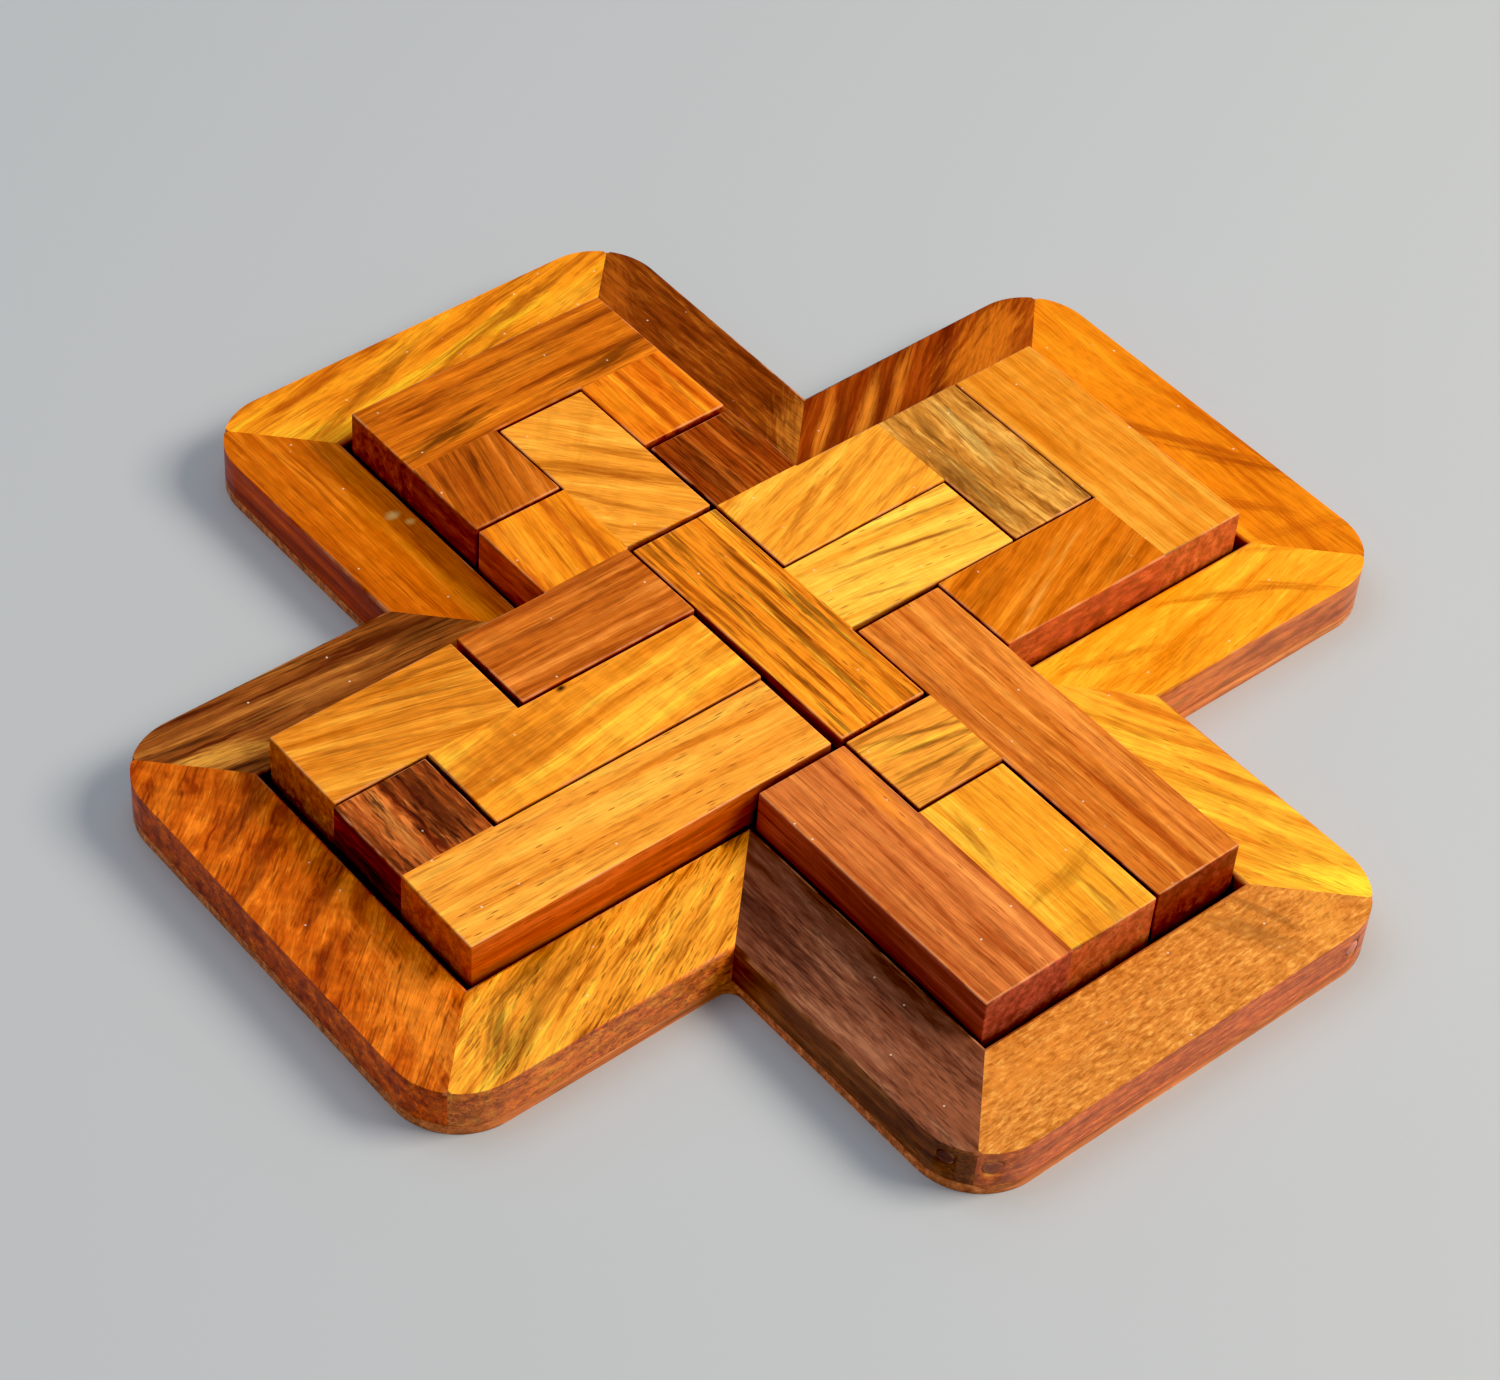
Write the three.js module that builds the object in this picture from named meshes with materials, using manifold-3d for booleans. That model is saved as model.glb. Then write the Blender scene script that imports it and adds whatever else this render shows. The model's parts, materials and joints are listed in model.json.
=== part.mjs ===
// A cross-shaped wooden tray puzzle. Nine loose pieces, each five squares in area and glued up from two or
// three bars, stand in a frame of mitred rails on a thin base board.
// Millimetres, +Z up. The origin is under the middle of the base board. Left is -X and front is -Y.
import * as THREE from "three";
import { mergeVertices } from "three/addons/utils/BufferGeometryUtils.js";
import Module from "manifold-3d";

// The squares. Columns count from the left and rows from the back, from 0 to 9.
const SQUARE = 20;
const SQUARES_ACROSS = 9;
const ARM_SQUARES = 3;

// The tray.
const END_SLACK = 3; // pocket length to spare at the tip of each arm
const SIDE_SLACK = 0.8; // pocket width to spare at each side of an arm
const RAIL_WIDTH = 20;
const RAIL_HEIGHT = 8.7;
const BOARD_THICKNESS = 2.2;
const CORNER_RADIUS = 13.6; // rounding of the eight corners at the tips of the arms
const NOTCH_RADIUS = 3; // rounding of the board in the four inward corners
const ARC_STEPS = 6; // straight steps in an eighth of a circle

// The loose pieces.
const PIECE_THICKNESS = 17.6;
const PIECE_CLEARANCE = 0.15; // how far each side of a piece stands inside its squares
const EDGE_EASE = 0.4; // chamfer on the edges of a glued-up piece

// The plugs over the nails at the corners of the front arm.
const PLUG_RADIUS = 1.6;
const PLUG_BORE_RADIUS = 1.9;
const PLUG_LENGTH = 3.2;
const PLUG_BORE_DEPTH = 3.5;
const PLUG_SIDES = 16;

const POCKET_REACH = (SQUARES_ACROSS * SQUARE) / 2 + END_SLACK;
const POCKET_HALF_WIDTH = (ARM_SQUARES * SQUARE) / 2 + SIDE_SLACK;
const OUTER_REACH = POCKET_REACH + RAIL_WIDTH;
const OUTER_HALF_WIDTH = POCKET_HALF_WIDTH + RAIL_WIDTH;
const RAIL_TOP = BOARD_THICKNESS + RAIL_HEIGHT;
const CUTTER_HEIGHT = 2 * PIECE_THICKNESS;

const SATIN_ROUGHNESS = 0.38;

// The right arm is drawn, and the others are it turned by quarter turns to the left.
const ARMS = ["right", "back", "left", "front"];

// Each rail by its arm and its side of that arm, seen from above.
const RAIL_COLOURS = {
  back_arm_end_rail: "#b5702c",
  back_arm_left_rail: "#93531f",
  back_arm_right_rail: "#5b2f18",
  left_arm_end_rail: "#a3521a",
  left_arm_back_rail: "#6e4021",
  left_arm_front_rail: "#a8792f",
  right_arm_end_rail: "#ba6c27",
  right_arm_back_rail: "#6d3419",
  right_arm_front_rail: "#cd8429",
  front_arm_end_rail: "#a97a3f",
  front_arm_left_rail: "#4d3428",
  front_arm_right_rail: "#dd9f31",
};
const BOARD_COLOUR = "#9c5230";
const PLUG_COLOUR = "#bd7a5c";

// Each loose piece: how far it has slid from its squares to the right and to the back, its outline, and its
// bars as name, first column, first row, last column, last row and colour.
const PIECES = {
  u: {
    slid: [-0.1, 0.9],
    outline: [[3, 0], [6, 0], [6, 2], [5, 2], [5, 1], [4, 1], [4, 2], [3, 2]],
    bars: [
      ["back_bar", 3, 0, 6, 1, "#a0551f"],
      ["left_block", 3, 1, 4, 2, "#8f5423"],
      ["right_block", 5, 1, 6, 2, "#bb6a24"],
    ],
  },
  w: {
    slid: [-0.1, 0.5],
    outline: [[4, 1], [5, 1], [5, 3], [4, 3], [4, 4], [2, 4], [2, 3], [3, 3], [3, 2], [4, 2]],
    bars: [
      ["back_bar", 4, 1, 5, 3, "#c98a3d"],
      ["middle_block", 3, 2, 4, 3, "#c47a2a"],
      ["front_bar", 2, 3, 4, 4, "#99602c"],
    ],
  },
  t: {
    slid: [0, -0.3],
    outline: [[4, 3], [5, 3], [5, 4], [7, 4], [7, 5], [5, 5], [5, 6], [4, 6]],
    bars: [
      ["cross_bar", 4, 3, 5, 6, "#c67d2b"],
      ["stem_bar", 5, 4, 7, 5, "#dca847"],
    ],
  },
  z: {
    slid: [0.3, -0.2],
    outline: [[5, 2], [6, 2], [6, 3], [8, 3], [8, 5], [7, 5], [7, 4], [5, 4]],
    bars: [
      ["back_block", 5, 2, 6, 3, "#5c3019"],
      ["middle_bar", 5, 3, 7, 4, "#d49a45"],
      ["right_bar", 7, 3, 8, 5, "#7f6335"],
    ],
  },
  v: {
    slid: [0.3, -0.3],
    outline: [[8, 3], [9, 3], [9, 6], [6, 6], [6, 5], [8, 5]],
    bars: [
      ["right_bar", 8, 3, 9, 6, "#cd8b3f"],
      ["front_bar", 6, 5, 8, 6, "#ae6a2c"],
    ],
  },
  y: {
    slid: [0.1, -1.0],
    outline: [[5, 5], [6, 5], [6, 9], [5, 9], [5, 7], [4, 7], [4, 6], [5, 6]],
    bars: [
      ["long_bar", 5, 5, 6, 9, "#90501f"],
      ["side_block", 4, 6, 5, 7, "#c98b38"],
    ],
  },
  p: {
    slid: [-0.3, -1.3],
    outline: [[3, 6], [4, 6], [4, 7], [5, 7], [5, 9], [3, 9]],
    bars: [
      ["long_bar", 3, 6, 4, 9, "#9a5020"],
      ["short_bar", 4, 7, 5, 9, "#d39233"],
    ],
  },
  l: {
    slid: [-1.8, -0.1],
    outline: [[0, 4], [1, 4], [1, 5], [4, 5], [4, 6], [0, 6]],
    bars: [
      ["long_bar", 0, 5, 4, 6, "#cf8c3c"],
      ["end_block", 0, 4, 1, 5, "#4f2d1b"],
    ],
  },
  n: {
    slid: [-1.2, 0.1],
    outline: [[0, 3], [2, 3], [2, 4], [4, 4], [4, 5], [1, 5], [1, 4], [0, 4]],
    bars: [
      ["back_bar", 0, 3, 2, 4, "#b97a35"],
      ["front_bar", 1, 4, 4, 5, "#cb8330"],
    ],
  },
};

// Each plug by the face of the front arm it shows on and its place on that face. They are set by hand, so no
// two sit alike.
const PLUGS = {
  front_arm_end_left_plug: { facing: "front", across: -44.5, height: 7.1 },
  front_arm_end_right_plug: { facing: "front", across: 38.6, height: 6.6 },
  front_arm_left_plug: { facing: "left", across: -104.6, height: 7.7 },
};

const wasm = await Module();
wasm.setup();

// Points round a circle, angles in eighths of a turn, the last one included.
function arc(x, y, radius, fromEighth, toEighth) {
  const steps = ARC_STEPS * Math.abs(toEighth - fromEighth);
  const points = [];
  for (let i = 0; i <= steps; i++) {
    const angle = (Math.PI / 4) * (fromEighth + ((toEighth - fromEighth) * i) / steps);
    points.push(new THREE.Vector2(x + radius * Math.cos(angle), y + radius * Math.sin(angle)));
  }
  return points;
}

// A prism standing on z = 0.
function prism(points, height) {
  return new THREE.ExtrudeGeometry(new THREE.Shape(points), { depth: height, bevelEnabled: false });
}

// The same points turned a quarter turn to the left, a number of times.
function quarterTurned(points, turns) {
  let turned = points;
  for (let i = 0; i < turns; i++) turned = turned.map((p) => new THREE.Vector2(-p.y, p.x));
  return turned;
}

// The outside of the whole tray.
function trayOutline() {
  const notch = OUTER_HALF_WIDTH + NOTCH_RADIUS;
  const tipX = OUTER_REACH - CORNER_RADIUS;
  const tipY = OUTER_HALF_WIDTH - CORNER_RADIUS;
  const arm = [
    ...arc(notch, -notch, NOTCH_RADIUS, 4, 2),
    ...arc(tipX, -tipY, CORNER_RADIUS, -2, 0),
    ...arc(tipX, tipY, CORNER_RADIUS, 0, 2),
  ];
  return ARMS.flatMap((_, turns) => quarterTurned(arm, turns));
}

// The rail across the tip of the right arm, mitred at both ends.
function endRailOutline() {
  const tipX = OUTER_REACH - CORNER_RADIUS;
  const tipY = OUTER_HALF_WIDTH - CORNER_RADIUS;
  return [
    new THREE.Vector2(POCKET_REACH, -POCKET_HALF_WIDTH),
    ...arc(tipX, -tipY, CORNER_RADIUS, -1, 0),
    ...arc(tipX, tipY, CORNER_RADIUS, 0, 1),
    new THREE.Vector2(POCKET_REACH, POCKET_HALF_WIDTH),
  ];
}

// The rail along the back side of the right arm, from the inward corner to the tip.
function sideRailOutline() {
  const tipX = OUTER_REACH - CORNER_RADIUS;
  const tipY = OUTER_HALF_WIDTH - CORNER_RADIUS;
  return [
    new THREE.Vector2(OUTER_HALF_WIDTH, OUTER_HALF_WIDTH),
    new THREE.Vector2(POCKET_HALF_WIDTH, POCKET_HALF_WIDTH),
    new THREE.Vector2(POCKET_REACH, POCKET_HALF_WIDTH),
    ...arc(tipX, tipY, CORNER_RADIUS, 1, 2),
  ];
}

function acrossArm(points) {
  return points.map((p) => new THREE.Vector2(p.x, -p.y)).reverse();
}

// What the rail on each arm's left hand, looking out along the arm, is called, and the one on its right hand.
const LEFT_HAND = { right: "back", back: "left", left: "front", front: "right" };
const RIGHT_HAND = { right: "front", back: "right", left: "back", front: "left" };

// Every rail's outline, by the rail's name.
function railOutlines() {
  const outlines = {};
  ARMS.forEach((arm, turns) => {
    outlines[`${arm}_arm_end_rail`] = quarterTurned(endRailOutline(), turns);
    outlines[`${arm}_arm_${LEFT_HAND[arm]}_rail`] = quarterTurned(sideRailOutline(), turns);
    outlines[`${arm}_arm_${RIGHT_HAND[arm]}_rail`] = quarterTurned(acrossArm(sideRailOutline()), turns);
  });
  return outlines;
}

// A closed three.js geometry as a solid that can be joined and cut.
function solidOf(geometry) {
  const bare = geometry.clone();
  bare.deleteAttribute("normal");
  bare.deleteAttribute("uv");
  const merged = mergeVertices(bare);
  return new wasm.Manifold(
    new wasm.Mesh({
      numProp: 3,
      vertProperties: merged.attributes.position.array,
      triVerts: new Uint32Array(merged.index.array),
    }),
  );
}

// A solid as a three.js geometry with flat faces.
function geometryOf(solid) {
  const mesh = solid.getMesh();
  const indexed = new THREE.BufferGeometry();
  indexed.setAttribute("position", new THREE.BufferAttribute(mesh.vertProperties, 3));
  indexed.setIndex(new THREE.BufferAttribute(mesh.triVerts, 1));
  const geometry = indexed.toNonIndexed();
  geometry.computeVertexNormals();
  return geometry;
}

// The point on a rounded corner of the front arm that a plug's axis comes out of, and the plug's direction.
function plugMouth({ facing, across, height }) {
  const cornerX = OUTER_HALF_WIDTH - CORNER_RADIUS;
  const cornerY = OUTER_REACH - CORNER_RADIUS;
  if (facing === "front") {
    const along = Math.max(0, Math.abs(across) - cornerX);
    const y = -(cornerY + Math.sqrt(CORNER_RADIUS ** 2 - along ** 2));
    return { mouth: new THREE.Vector3(across, y, height), out: new THREE.Vector3(0, -1, 0) };
  }
  const along = Math.max(0, Math.abs(across) - cornerY);
  const x = -(cornerX + Math.sqrt(CORNER_RADIUS ** 2 - along ** 2));
  return { mouth: new THREE.Vector3(x, across, height), out: new THREE.Vector3(-1, 0, 0) };
}

// A round bar that ends a given depth inside the wood and runs out well past its face.
function plugBar(plug, radius, depth) {
  const { mouth, out } = plugMouth(plug);
  const proud = CORNER_RADIUS;
  const bar = new THREE.CylinderGeometry(radius, radius, depth + proud, PLUG_SIDES);
  bar.applyQuaternion(new THREE.Quaternion().setFromUnitVectors(new THREE.Vector3(0, 1, 0), out));
  const middle = mouth.clone().addScaledVector(out, (proud - depth) / 2);
  bar.translate(middle.x, middle.y, middle.z);
  return solidOf(bar);
}

// A rail of the front arm has the blind holes for the plugs. One of them crosses a mitre.
function railGeometry(name, outline) {
  const rail = prism(outline, RAIL_HEIGHT);
  rail.translate(0, 0, BOARD_THICKNESS);
  if (!name.startsWith("front_arm")) return rail;
  const bores = Object.values(PLUGS).map((plug) => plugBar(plug, PLUG_BORE_RADIUS, PLUG_BORE_DEPTH));
  return geometryOf(bores.reduce((solid, bore) => solid.subtract(bore), solidOf(rail)));
}

// A plug is cut off flush with the outside of the tray.
function plugGeometry(plug) {
  const tray = prism(trayOutline(), RAIL_TOP);
  return geometryOf(plugBar(plug, PLUG_RADIUS, PLUG_LENGTH).intersect(solidOf(tray)));
}

function columnX(column) {
  return (column - SQUARES_ACROSS / 2) * SQUARE;
}

function rowY(row) {
  return (SQUARES_ACROSS / 2 - row) * SQUARE;
}

// A whole piece as it leaves the sanding belt, with its free edges eased.
function pieceSolid(outline) {
  const shape = new THREE.Shape(outline.map(([column, row]) => new THREE.Vector2(columnX(column), rowY(row))));
  const geometry = new THREE.ExtrudeGeometry(shape, {
    depth: PIECE_THICKNESS - 2 * EDGE_EASE,
    bevelThickness: EDGE_EASE,
    bevelSize: EDGE_EASE,
    bevelOffset: -(EDGE_EASE + PIECE_CLEARANCE),
    bevelSegments: 1,
  });
  geometry.translate(0, 0, EDGE_EASE);
  return solidOf(geometry);
}

// The space that one bar takes up in its piece.
function barSpace(firstColumn, firstRow, lastColumn, lastRow) {
  const width = (lastColumn - firstColumn) * SQUARE;
  const depth = (lastRow - firstRow) * SQUARE;
  const box = new THREE.BoxGeometry(width, depth, CUTTER_HEIGHT);
  box.translate(columnX(firstColumn) + width / 2, rowY(firstRow) - depth / 2, 0);
  return solidOf(box);
}

function wooden(name, geometry, colour) {
  const material = new THREE.MeshStandardMaterial({ color: colour, roughness: SATIN_ROUGHNESS, metalness: 0 });
  const mesh = new THREE.Mesh(geometry, material);
  mesh.name = name;
  return mesh;
}

function trayGroup() {
  const tray = new THREE.Group();
  tray.add(wooden("base_board", prism(trayOutline(), BOARD_THICKNESS), BOARD_COLOUR));
  for (const [name, outline] of Object.entries(railOutlines())) {
    tray.add(wooden(name, railGeometry(name, outline), RAIL_COLOURS[name]));
  }
  for (const [name, plug] of Object.entries(PLUGS)) {
    tray.add(wooden(name, plugGeometry(plug), PLUG_COLOUR));
  }
  return tray;
}

function pieceGroup(letter, { slid, outline, bars }) {
  const piece = new THREE.Group();
  const whole = pieceSolid(outline);
  for (const [bar, firstColumn, firstRow, lastColumn, lastRow, colour] of bars) {
    const solid = whole.intersect(barSpace(firstColumn, firstRow, lastColumn, lastRow));
    piece.add(wooden(`${letter}_${bar}`, geometryOf(solid), colour));
  }
  piece.position.set(slid[0], slid[1], BOARD_THICKNESS);
  return piece;
}

const puzzle = new THREE.Group();
puzzle.add(trayGroup());
for (const [letter, piece] of Object.entries(PIECES)) puzzle.add(pieceGroup(letter, piece));

export default puzzle;
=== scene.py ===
"""A cross-shaped wooden tray puzzle on a pale table.

Nine loose pieces, each glued up from two or three bars of different hardwood, stand in a frame of mitred
rails on a thin base board. Every bar and rail has its own stick of wood. Lengths are in metres unless a name
says millimetres. Left is -X and front is -Y.
"""

import json
import logging
import math
from dataclasses import dataclass, field
from enum import Enum, IntEnum
from functools import partial
from itertools import product
from typing import Any, Iterable, Sequence

import bmesh
import bpy
from mathutils import Matrix, Vector


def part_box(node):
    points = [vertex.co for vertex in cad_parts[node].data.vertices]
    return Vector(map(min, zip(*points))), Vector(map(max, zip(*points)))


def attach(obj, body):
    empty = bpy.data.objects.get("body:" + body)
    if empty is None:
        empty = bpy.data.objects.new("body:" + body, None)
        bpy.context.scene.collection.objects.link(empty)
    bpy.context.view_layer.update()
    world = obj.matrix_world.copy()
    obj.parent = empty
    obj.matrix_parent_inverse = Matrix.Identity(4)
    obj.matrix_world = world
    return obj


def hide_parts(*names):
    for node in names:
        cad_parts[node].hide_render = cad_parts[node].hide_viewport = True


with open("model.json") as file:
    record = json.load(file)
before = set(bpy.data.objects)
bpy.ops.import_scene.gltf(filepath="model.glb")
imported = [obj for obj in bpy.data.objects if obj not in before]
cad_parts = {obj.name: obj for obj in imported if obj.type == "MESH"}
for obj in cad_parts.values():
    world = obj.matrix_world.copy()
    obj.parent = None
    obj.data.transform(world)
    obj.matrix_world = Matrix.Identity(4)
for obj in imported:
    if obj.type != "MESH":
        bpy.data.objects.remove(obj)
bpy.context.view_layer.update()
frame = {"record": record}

LOG = logging.getLogger("tray_puzzle")
MM = 0.001
# Marks the eased edges that are painted paler: partly rubbed bare wood, partly a painted highlight.
WORN_LIT_EDGE = "worn_edge"
# Each stick has its own number, which picks its place in the log. The bars count from 0, the rails and plugs
# from these.
FIRST_RAIL = 30
FIRST_PLUG = 70
BOARD = 60


# ---------------------------------------------------------------------------------------------- colour


def linear(hex_colour: str) -> tuple[float, float, float, float]:
    """Turns an sRGB hex colour into linear light.

    Args:
        hex_colour: The colour as "#rrggbb".

    Returns:
        Red, green, blue and a full alpha.
    """
    channels = [int(hex_colour[i : i + 2], 16) / 255 for i in (1, 3, 5)]
    lit = [c / 12.92 if c <= 0.04045 else ((c + 0.055) / 1.055) ** 2.4 for c in channels]
    return (lit[0], lit[1], lit[2], 1.0)


def add_node(
    tree: bpy.types.NodeTree,
    kind: str,
    settings: dict[str, Any] | None = None,
    inputs: dict[str | int, Any] | Sequence[Any] = (),
) -> bpy.types.NodeOutputs:
    """Adds one shader node.

    Args:
        tree: The node tree to add it to.
        kind: The node's type, without the "ShaderNode" in front.
        settings: Properties of the node, by name.
        inputs: What goes into its sockets, in order or by name or number: a socket to link, or a value.

    Returns:
        The new node's outputs.
    """
    node = tree.nodes.new("ShaderNode" + kind)
    for name, value in (settings or {}).items():
        setattr(node, name, value)
    given = inputs if isinstance(inputs, dict) else dict(enumerate(inputs))
    for name, value in given.items():
        if isinstance(value, bpy.types.NodeSocket):
            tree.links.new(value, node.inputs[name])
        else:
            node.inputs[name].default_value = value
    return node.outputs


# ---------------------------------------------------------------------------------------------- timber


class Grain(Enum):
    """Which way the grain of a stick runs, as degrees from +X."""

    ACROSS = 0.0
    ALONG = 90.0


@dataclass(frozen=True)
class Streak:
    """One streak of colour in the face of a stick.

    Attributes:
        x_mm: Its middle, to the right of the stick's middle.
        y_mm: Its middle, to the back of the stick's middle.
        length_mm: Its length.
        width_mm: Its width.
        angle_deg: The way its length runs, from +X.
        colour: Its colour.
        strength: How much of the wood's own colour it hides, from 0 to 1.
        ragged: How far the grain frays its rim, from 0 to 1.
    """

    x_mm: float
    y_mm: float
    length_mm: float
    width_mm: float
    angle_deg: float
    colour: str
    strength: float = 0.6
    ragged: float = 1.0


@dataclass(frozen=True)
class Timber:
    """Oiled tropical hardwood, sawn, sanded flush and rubbed with wax.

    The eye gets bands of gold and brown with fine growth lines through them, short dark pores, silky fibre,
    and a low satin gloss that the open pores break up.

    Attributes:
        dark: Colour of the darkest bands.
        middle: Colour of most of the face.
        light: Colour of the palest bands.
        line: Colour of the growth lines.
        slant_deg: How far the grain leans to the left of the stick's length.
        band_mm: Width of a band of colour.
        band_length_mm: How far a band runs.
        line_mm: Width of a growth line.
        line_length_mm: How far a growth line runs.
        line_share: Share of the face under growth lines.
        line_strength: How dark the growth lines are.
        pores: How dark the pores are.
        pore_gap_mm: Distance between neighbouring pores, across the grain.
        fibre: How much single fibres differ in brightness.
        ripple: How much the painted chatoyant sheen, light and dark across the grain, differs.
        wander_mm: How far the grain wanders to the side.
        curl_mm: How far the grain curls within a few millimetres.
        side_tint_and_light: What the edge faces are multiplied by: the oil they soak up, and painted shade
            and sheen.
        side_sheen: How much painted pink sheen, from 0 to 1, covers the edge faces.
        roughness: Roughness of the waxed face.
        streaks: Single streaks, knots and specks.
    """

    dark: str
    middle: str
    light: str
    line: str
    slant_deg: float = 0.0
    band_mm: float = 2.4
    band_length_mm: float = 55.0
    line_mm: float = 0.6
    line_length_mm: float = 22.0
    line_share: float = 0.25
    line_strength: float = 0.5
    pores: float = 0.35
    pore_gap_mm: float = 0.8
    fibre: float = 0.16
    ripple: float = 0.04
    wander_mm: float = 1.0
    curl_mm: float = 0.3
    side_tint_and_light: str = "#cc9a8c"
    side_sheen: float = 0.0
    roughness: float = 0.4
    streaks: tuple[Streak, ...] = ()

    def material(self, name: str, middle: Vector, grain: Grain, number: int) -> bpy.types.Material:
        """Makes the wood of one stick.

        Args:
            name: The stick's name.
            middle: The stick's middle, in the part's frame.
            grain: Which way its grain runs.
            number: A number of its own, which picks its place in the log.

        Returns:
            The material.
        """
        return _TimberNodes(self, name, middle, grain, number).material


class Layer(IntEnum):
    """The patterns of a stick, each with a number that keeps it apart from the others."""

    WANDER = 1
    BANDS = 2
    LINES = 3
    FIBRE = 4
    RIPPLE = 5
    PORES = 6
    WORN_LIT = 7
    GLINTS = 8
    CURL = 9
    PATCHES = 10
    BEND = 11
    SOAK = 12
    FIRST_STREAK = 20


# Settings that several nodes share.
SMOOTH = {"interpolation_type": "SMOOTHSTEP"}
PRODUCT = {"operation": "MULTIPLY"}
SCALED = {"operation": "SCALE"}
BLEND = {"data_type": "RGBA", "blend_type": "MIX"}
TINT = {"data_type": "RGBA", "blend_type": "MULTIPLY"}
# The colour sockets of a mix: how much of the upper colour shows, the two colours, and what comes out.
SHARE, LOWER, UPPER = 0, 6, 7
MIXED = 2


class _TimberNodes:
    """The node tree of one stick of timber."""

    # Where a layer of a stick lies in the endless log: a step for each stick and each layer.
    LOG_DIRECTION = (1.7, 4.1, 2.9)
    STICK_STEP = 3.7
    LAYER_STEP = 11.3
    # How far the streaks bend to the side, and how far the grain frays their rims.
    BEND_MM = 1.0
    FRAY = 2.4
    # Length of a pore, and how deep it is.
    PORE_MM = 5.0
    PORE_DEPTH_MM = 0.05
    # Distance between grains of dust.
    SPECK_GAP_MM = 9.0
    # How far round a point the walls of a gap paint shade on it, and how much of its colour the deepest point
    # keeps.
    GAP_MM = 6.0
    GAP_LIGHT = 0.08
    # Painted glints on the wax, a painted pink sheen on the edge faces, and bare wood on the rubbed edges,
    # which also paints their highlight.
    GLINT_COLOUR = "#f0dcc4"
    SHEEN_COLOUR = "#d88078"
    BARE_AND_LIT_COLOUR = "#e8a070"

    def __init__(self, timber: Timber, name: str, middle: Vector, grain: Grain, number: int) -> None:
        """Builds the whole tree.

        Args:
            timber: The wood.
            name: The stick's name.
            middle: The stick's middle.
            grain: Which way its grain runs.
            number: The stick's own number.
        """
        self.timber = timber
        self.number = number
        self.material = bpy.data.materials.new("waxed_hardwood_" + name)
        self.material.use_nodes = True
        self.material.node_tree.nodes.clear()
        self.add = partial(add_node, self.material.node_tree)
        self.coordinates = self.add("TexCoord")
        scale = Vector((1, 1, 1)) / MM
        place = {"Vector": self.coordinates["Object"], "Scale": scale, "Location": -middle / MM}
        self.face = self.add("Mapping", None, place)[0]
        turn = (0.0, 0.0, math.radians(-(grain.value + timber.slant_deg)))
        self.stick = self.add("Mapping", None, {"Vector": self.face, "Rotation": turn})[0]
        # The grain wanders over the length of a stick, and curls within a few millimetres.
        self.figure = self._wandered(self.stick, 42.0, 15.0, Layer.WANDER, timber.wander_mm)
        self.curled = self._wandered(self.figure, 5.0, 3.0, Layer.CURL, timber.curl_mm)
        self.bent = self._wandered(self.face, 16.0, 16.0, Layer.BEND, self.BEND_MM)
        self._dress()

    def _stretched(
        self, source: bpy.types.NodeSocket, along_mm: float, across_mm: float, layer: int
    ) -> bpy.types.NodeSocket:
        """Coordinates for a pattern that is long with the grain.

        Args:
            source: Coordinates in millimetres.
            along_mm: Length of the pattern's grain.
            across_mm: Width of the pattern's grain.
            layer: Which of the stick's patterns it is.

        Returns:
            The coordinates, one unit to a grain of the pattern.
        """
        place = Vector(self.LOG_DIRECTION) * (self.number * self.STICK_STEP + layer * self.LAYER_STEP)
        scale = Vector((1 / along_mm, 1 / across_mm, 1 / across_mm))
        return self.add("Mapping", None, {"Vector": source, "Scale": scale, "Location": place})[0]

    def _grain(
        self,
        source: bpy.types.NodeSocket,
        along_mm: float,
        across_mm: float,
        layer: int,
        detail: float = 2.0,
        output: int = 0,
    ) -> bpy.types.NodeSocket:
        """A cloudy pattern that is long with the grain.

        Args:
            source: Coordinates in millimetres.
            along_mm: Its length.
            across_mm: Its width.
            layer: Which of the stick's patterns it is.
            detail: How many finer steps it has.
            output: Which output to use.

        Returns:
            The pattern.
        """
        vector = self._stretched(source, along_mm, across_mm, layer)
        inputs = {"Vector": vector, "Scale": 1.0, "Detail": detail, "Roughness": 0.6}
        return self.add("TexNoise", None, inputs)[output]

    def _wandered(
        self, source: bpy.types.NodeSocket, along_mm: float, across_mm: float, layer: int, reach_mm: float
    ) -> bpy.types.NodeSocket:
        """Moves coordinates to and fro, sideways more than along.

        Args:
            source: Coordinates in millimetres.
            along_mm: How far a sway runs with the grain.
            across_mm: How far it runs across.
            layer: Which of the stick's patterns it is.
            reach_mm: How far the sway reaches.

        Returns:
            The new coordinates.
        """
        sway = self._grain(source, along_mm, across_mm, layer, 1.0, 1)
        reach = (0.6 * reach_mm, 2 * reach_mm, 2 * reach_mm)
        return self.add("VectorMath", {"operation": "MULTIPLY_ADD"}, (sway, reach, source))[0]

    def _dress(self) -> None:
        """Builds the colour, the relief and the gloss."""
        rough = self.timber.roughness
        fibre = self._grain(self.figure, 6.0, 0.3, Layer.FIBRE)
        pores = self._pores()
        colour = self._worn_and_lit(self._sides(self._top(fibre, pores)))
        raised = self.add("Math", PRODUCT, (fibre, 0.35))[0]
        relief = self.add("Math", {"operation": "SUBTRACT"}, (raised, pores))[0]
        depth = self.PORE_DEPTH_MM * MM
        bump = self.add("Bump", None, {"Strength": 0.6, "Distance": depth, "Height": relief})
        gloss = self.add("MapRange", SMOOTH, (fibre, 0.3, 0.7, rough - 0.05, rough + 0.07))[0]
        finish = {
            "Base Color": colour,
            "Roughness": gloss,
            "IOR": 1.5,
            # Wax fills the surface, so it reflects less than a hard varnish.
            "Specular IOR Level": 0.2,
            "Normal": bump["Normal"],
        }
        shader = self.add("BsdfPrincipled", None, finish)
        self.add("OutputMaterial", None, {"Surface": shader["BSDF"]})

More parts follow.
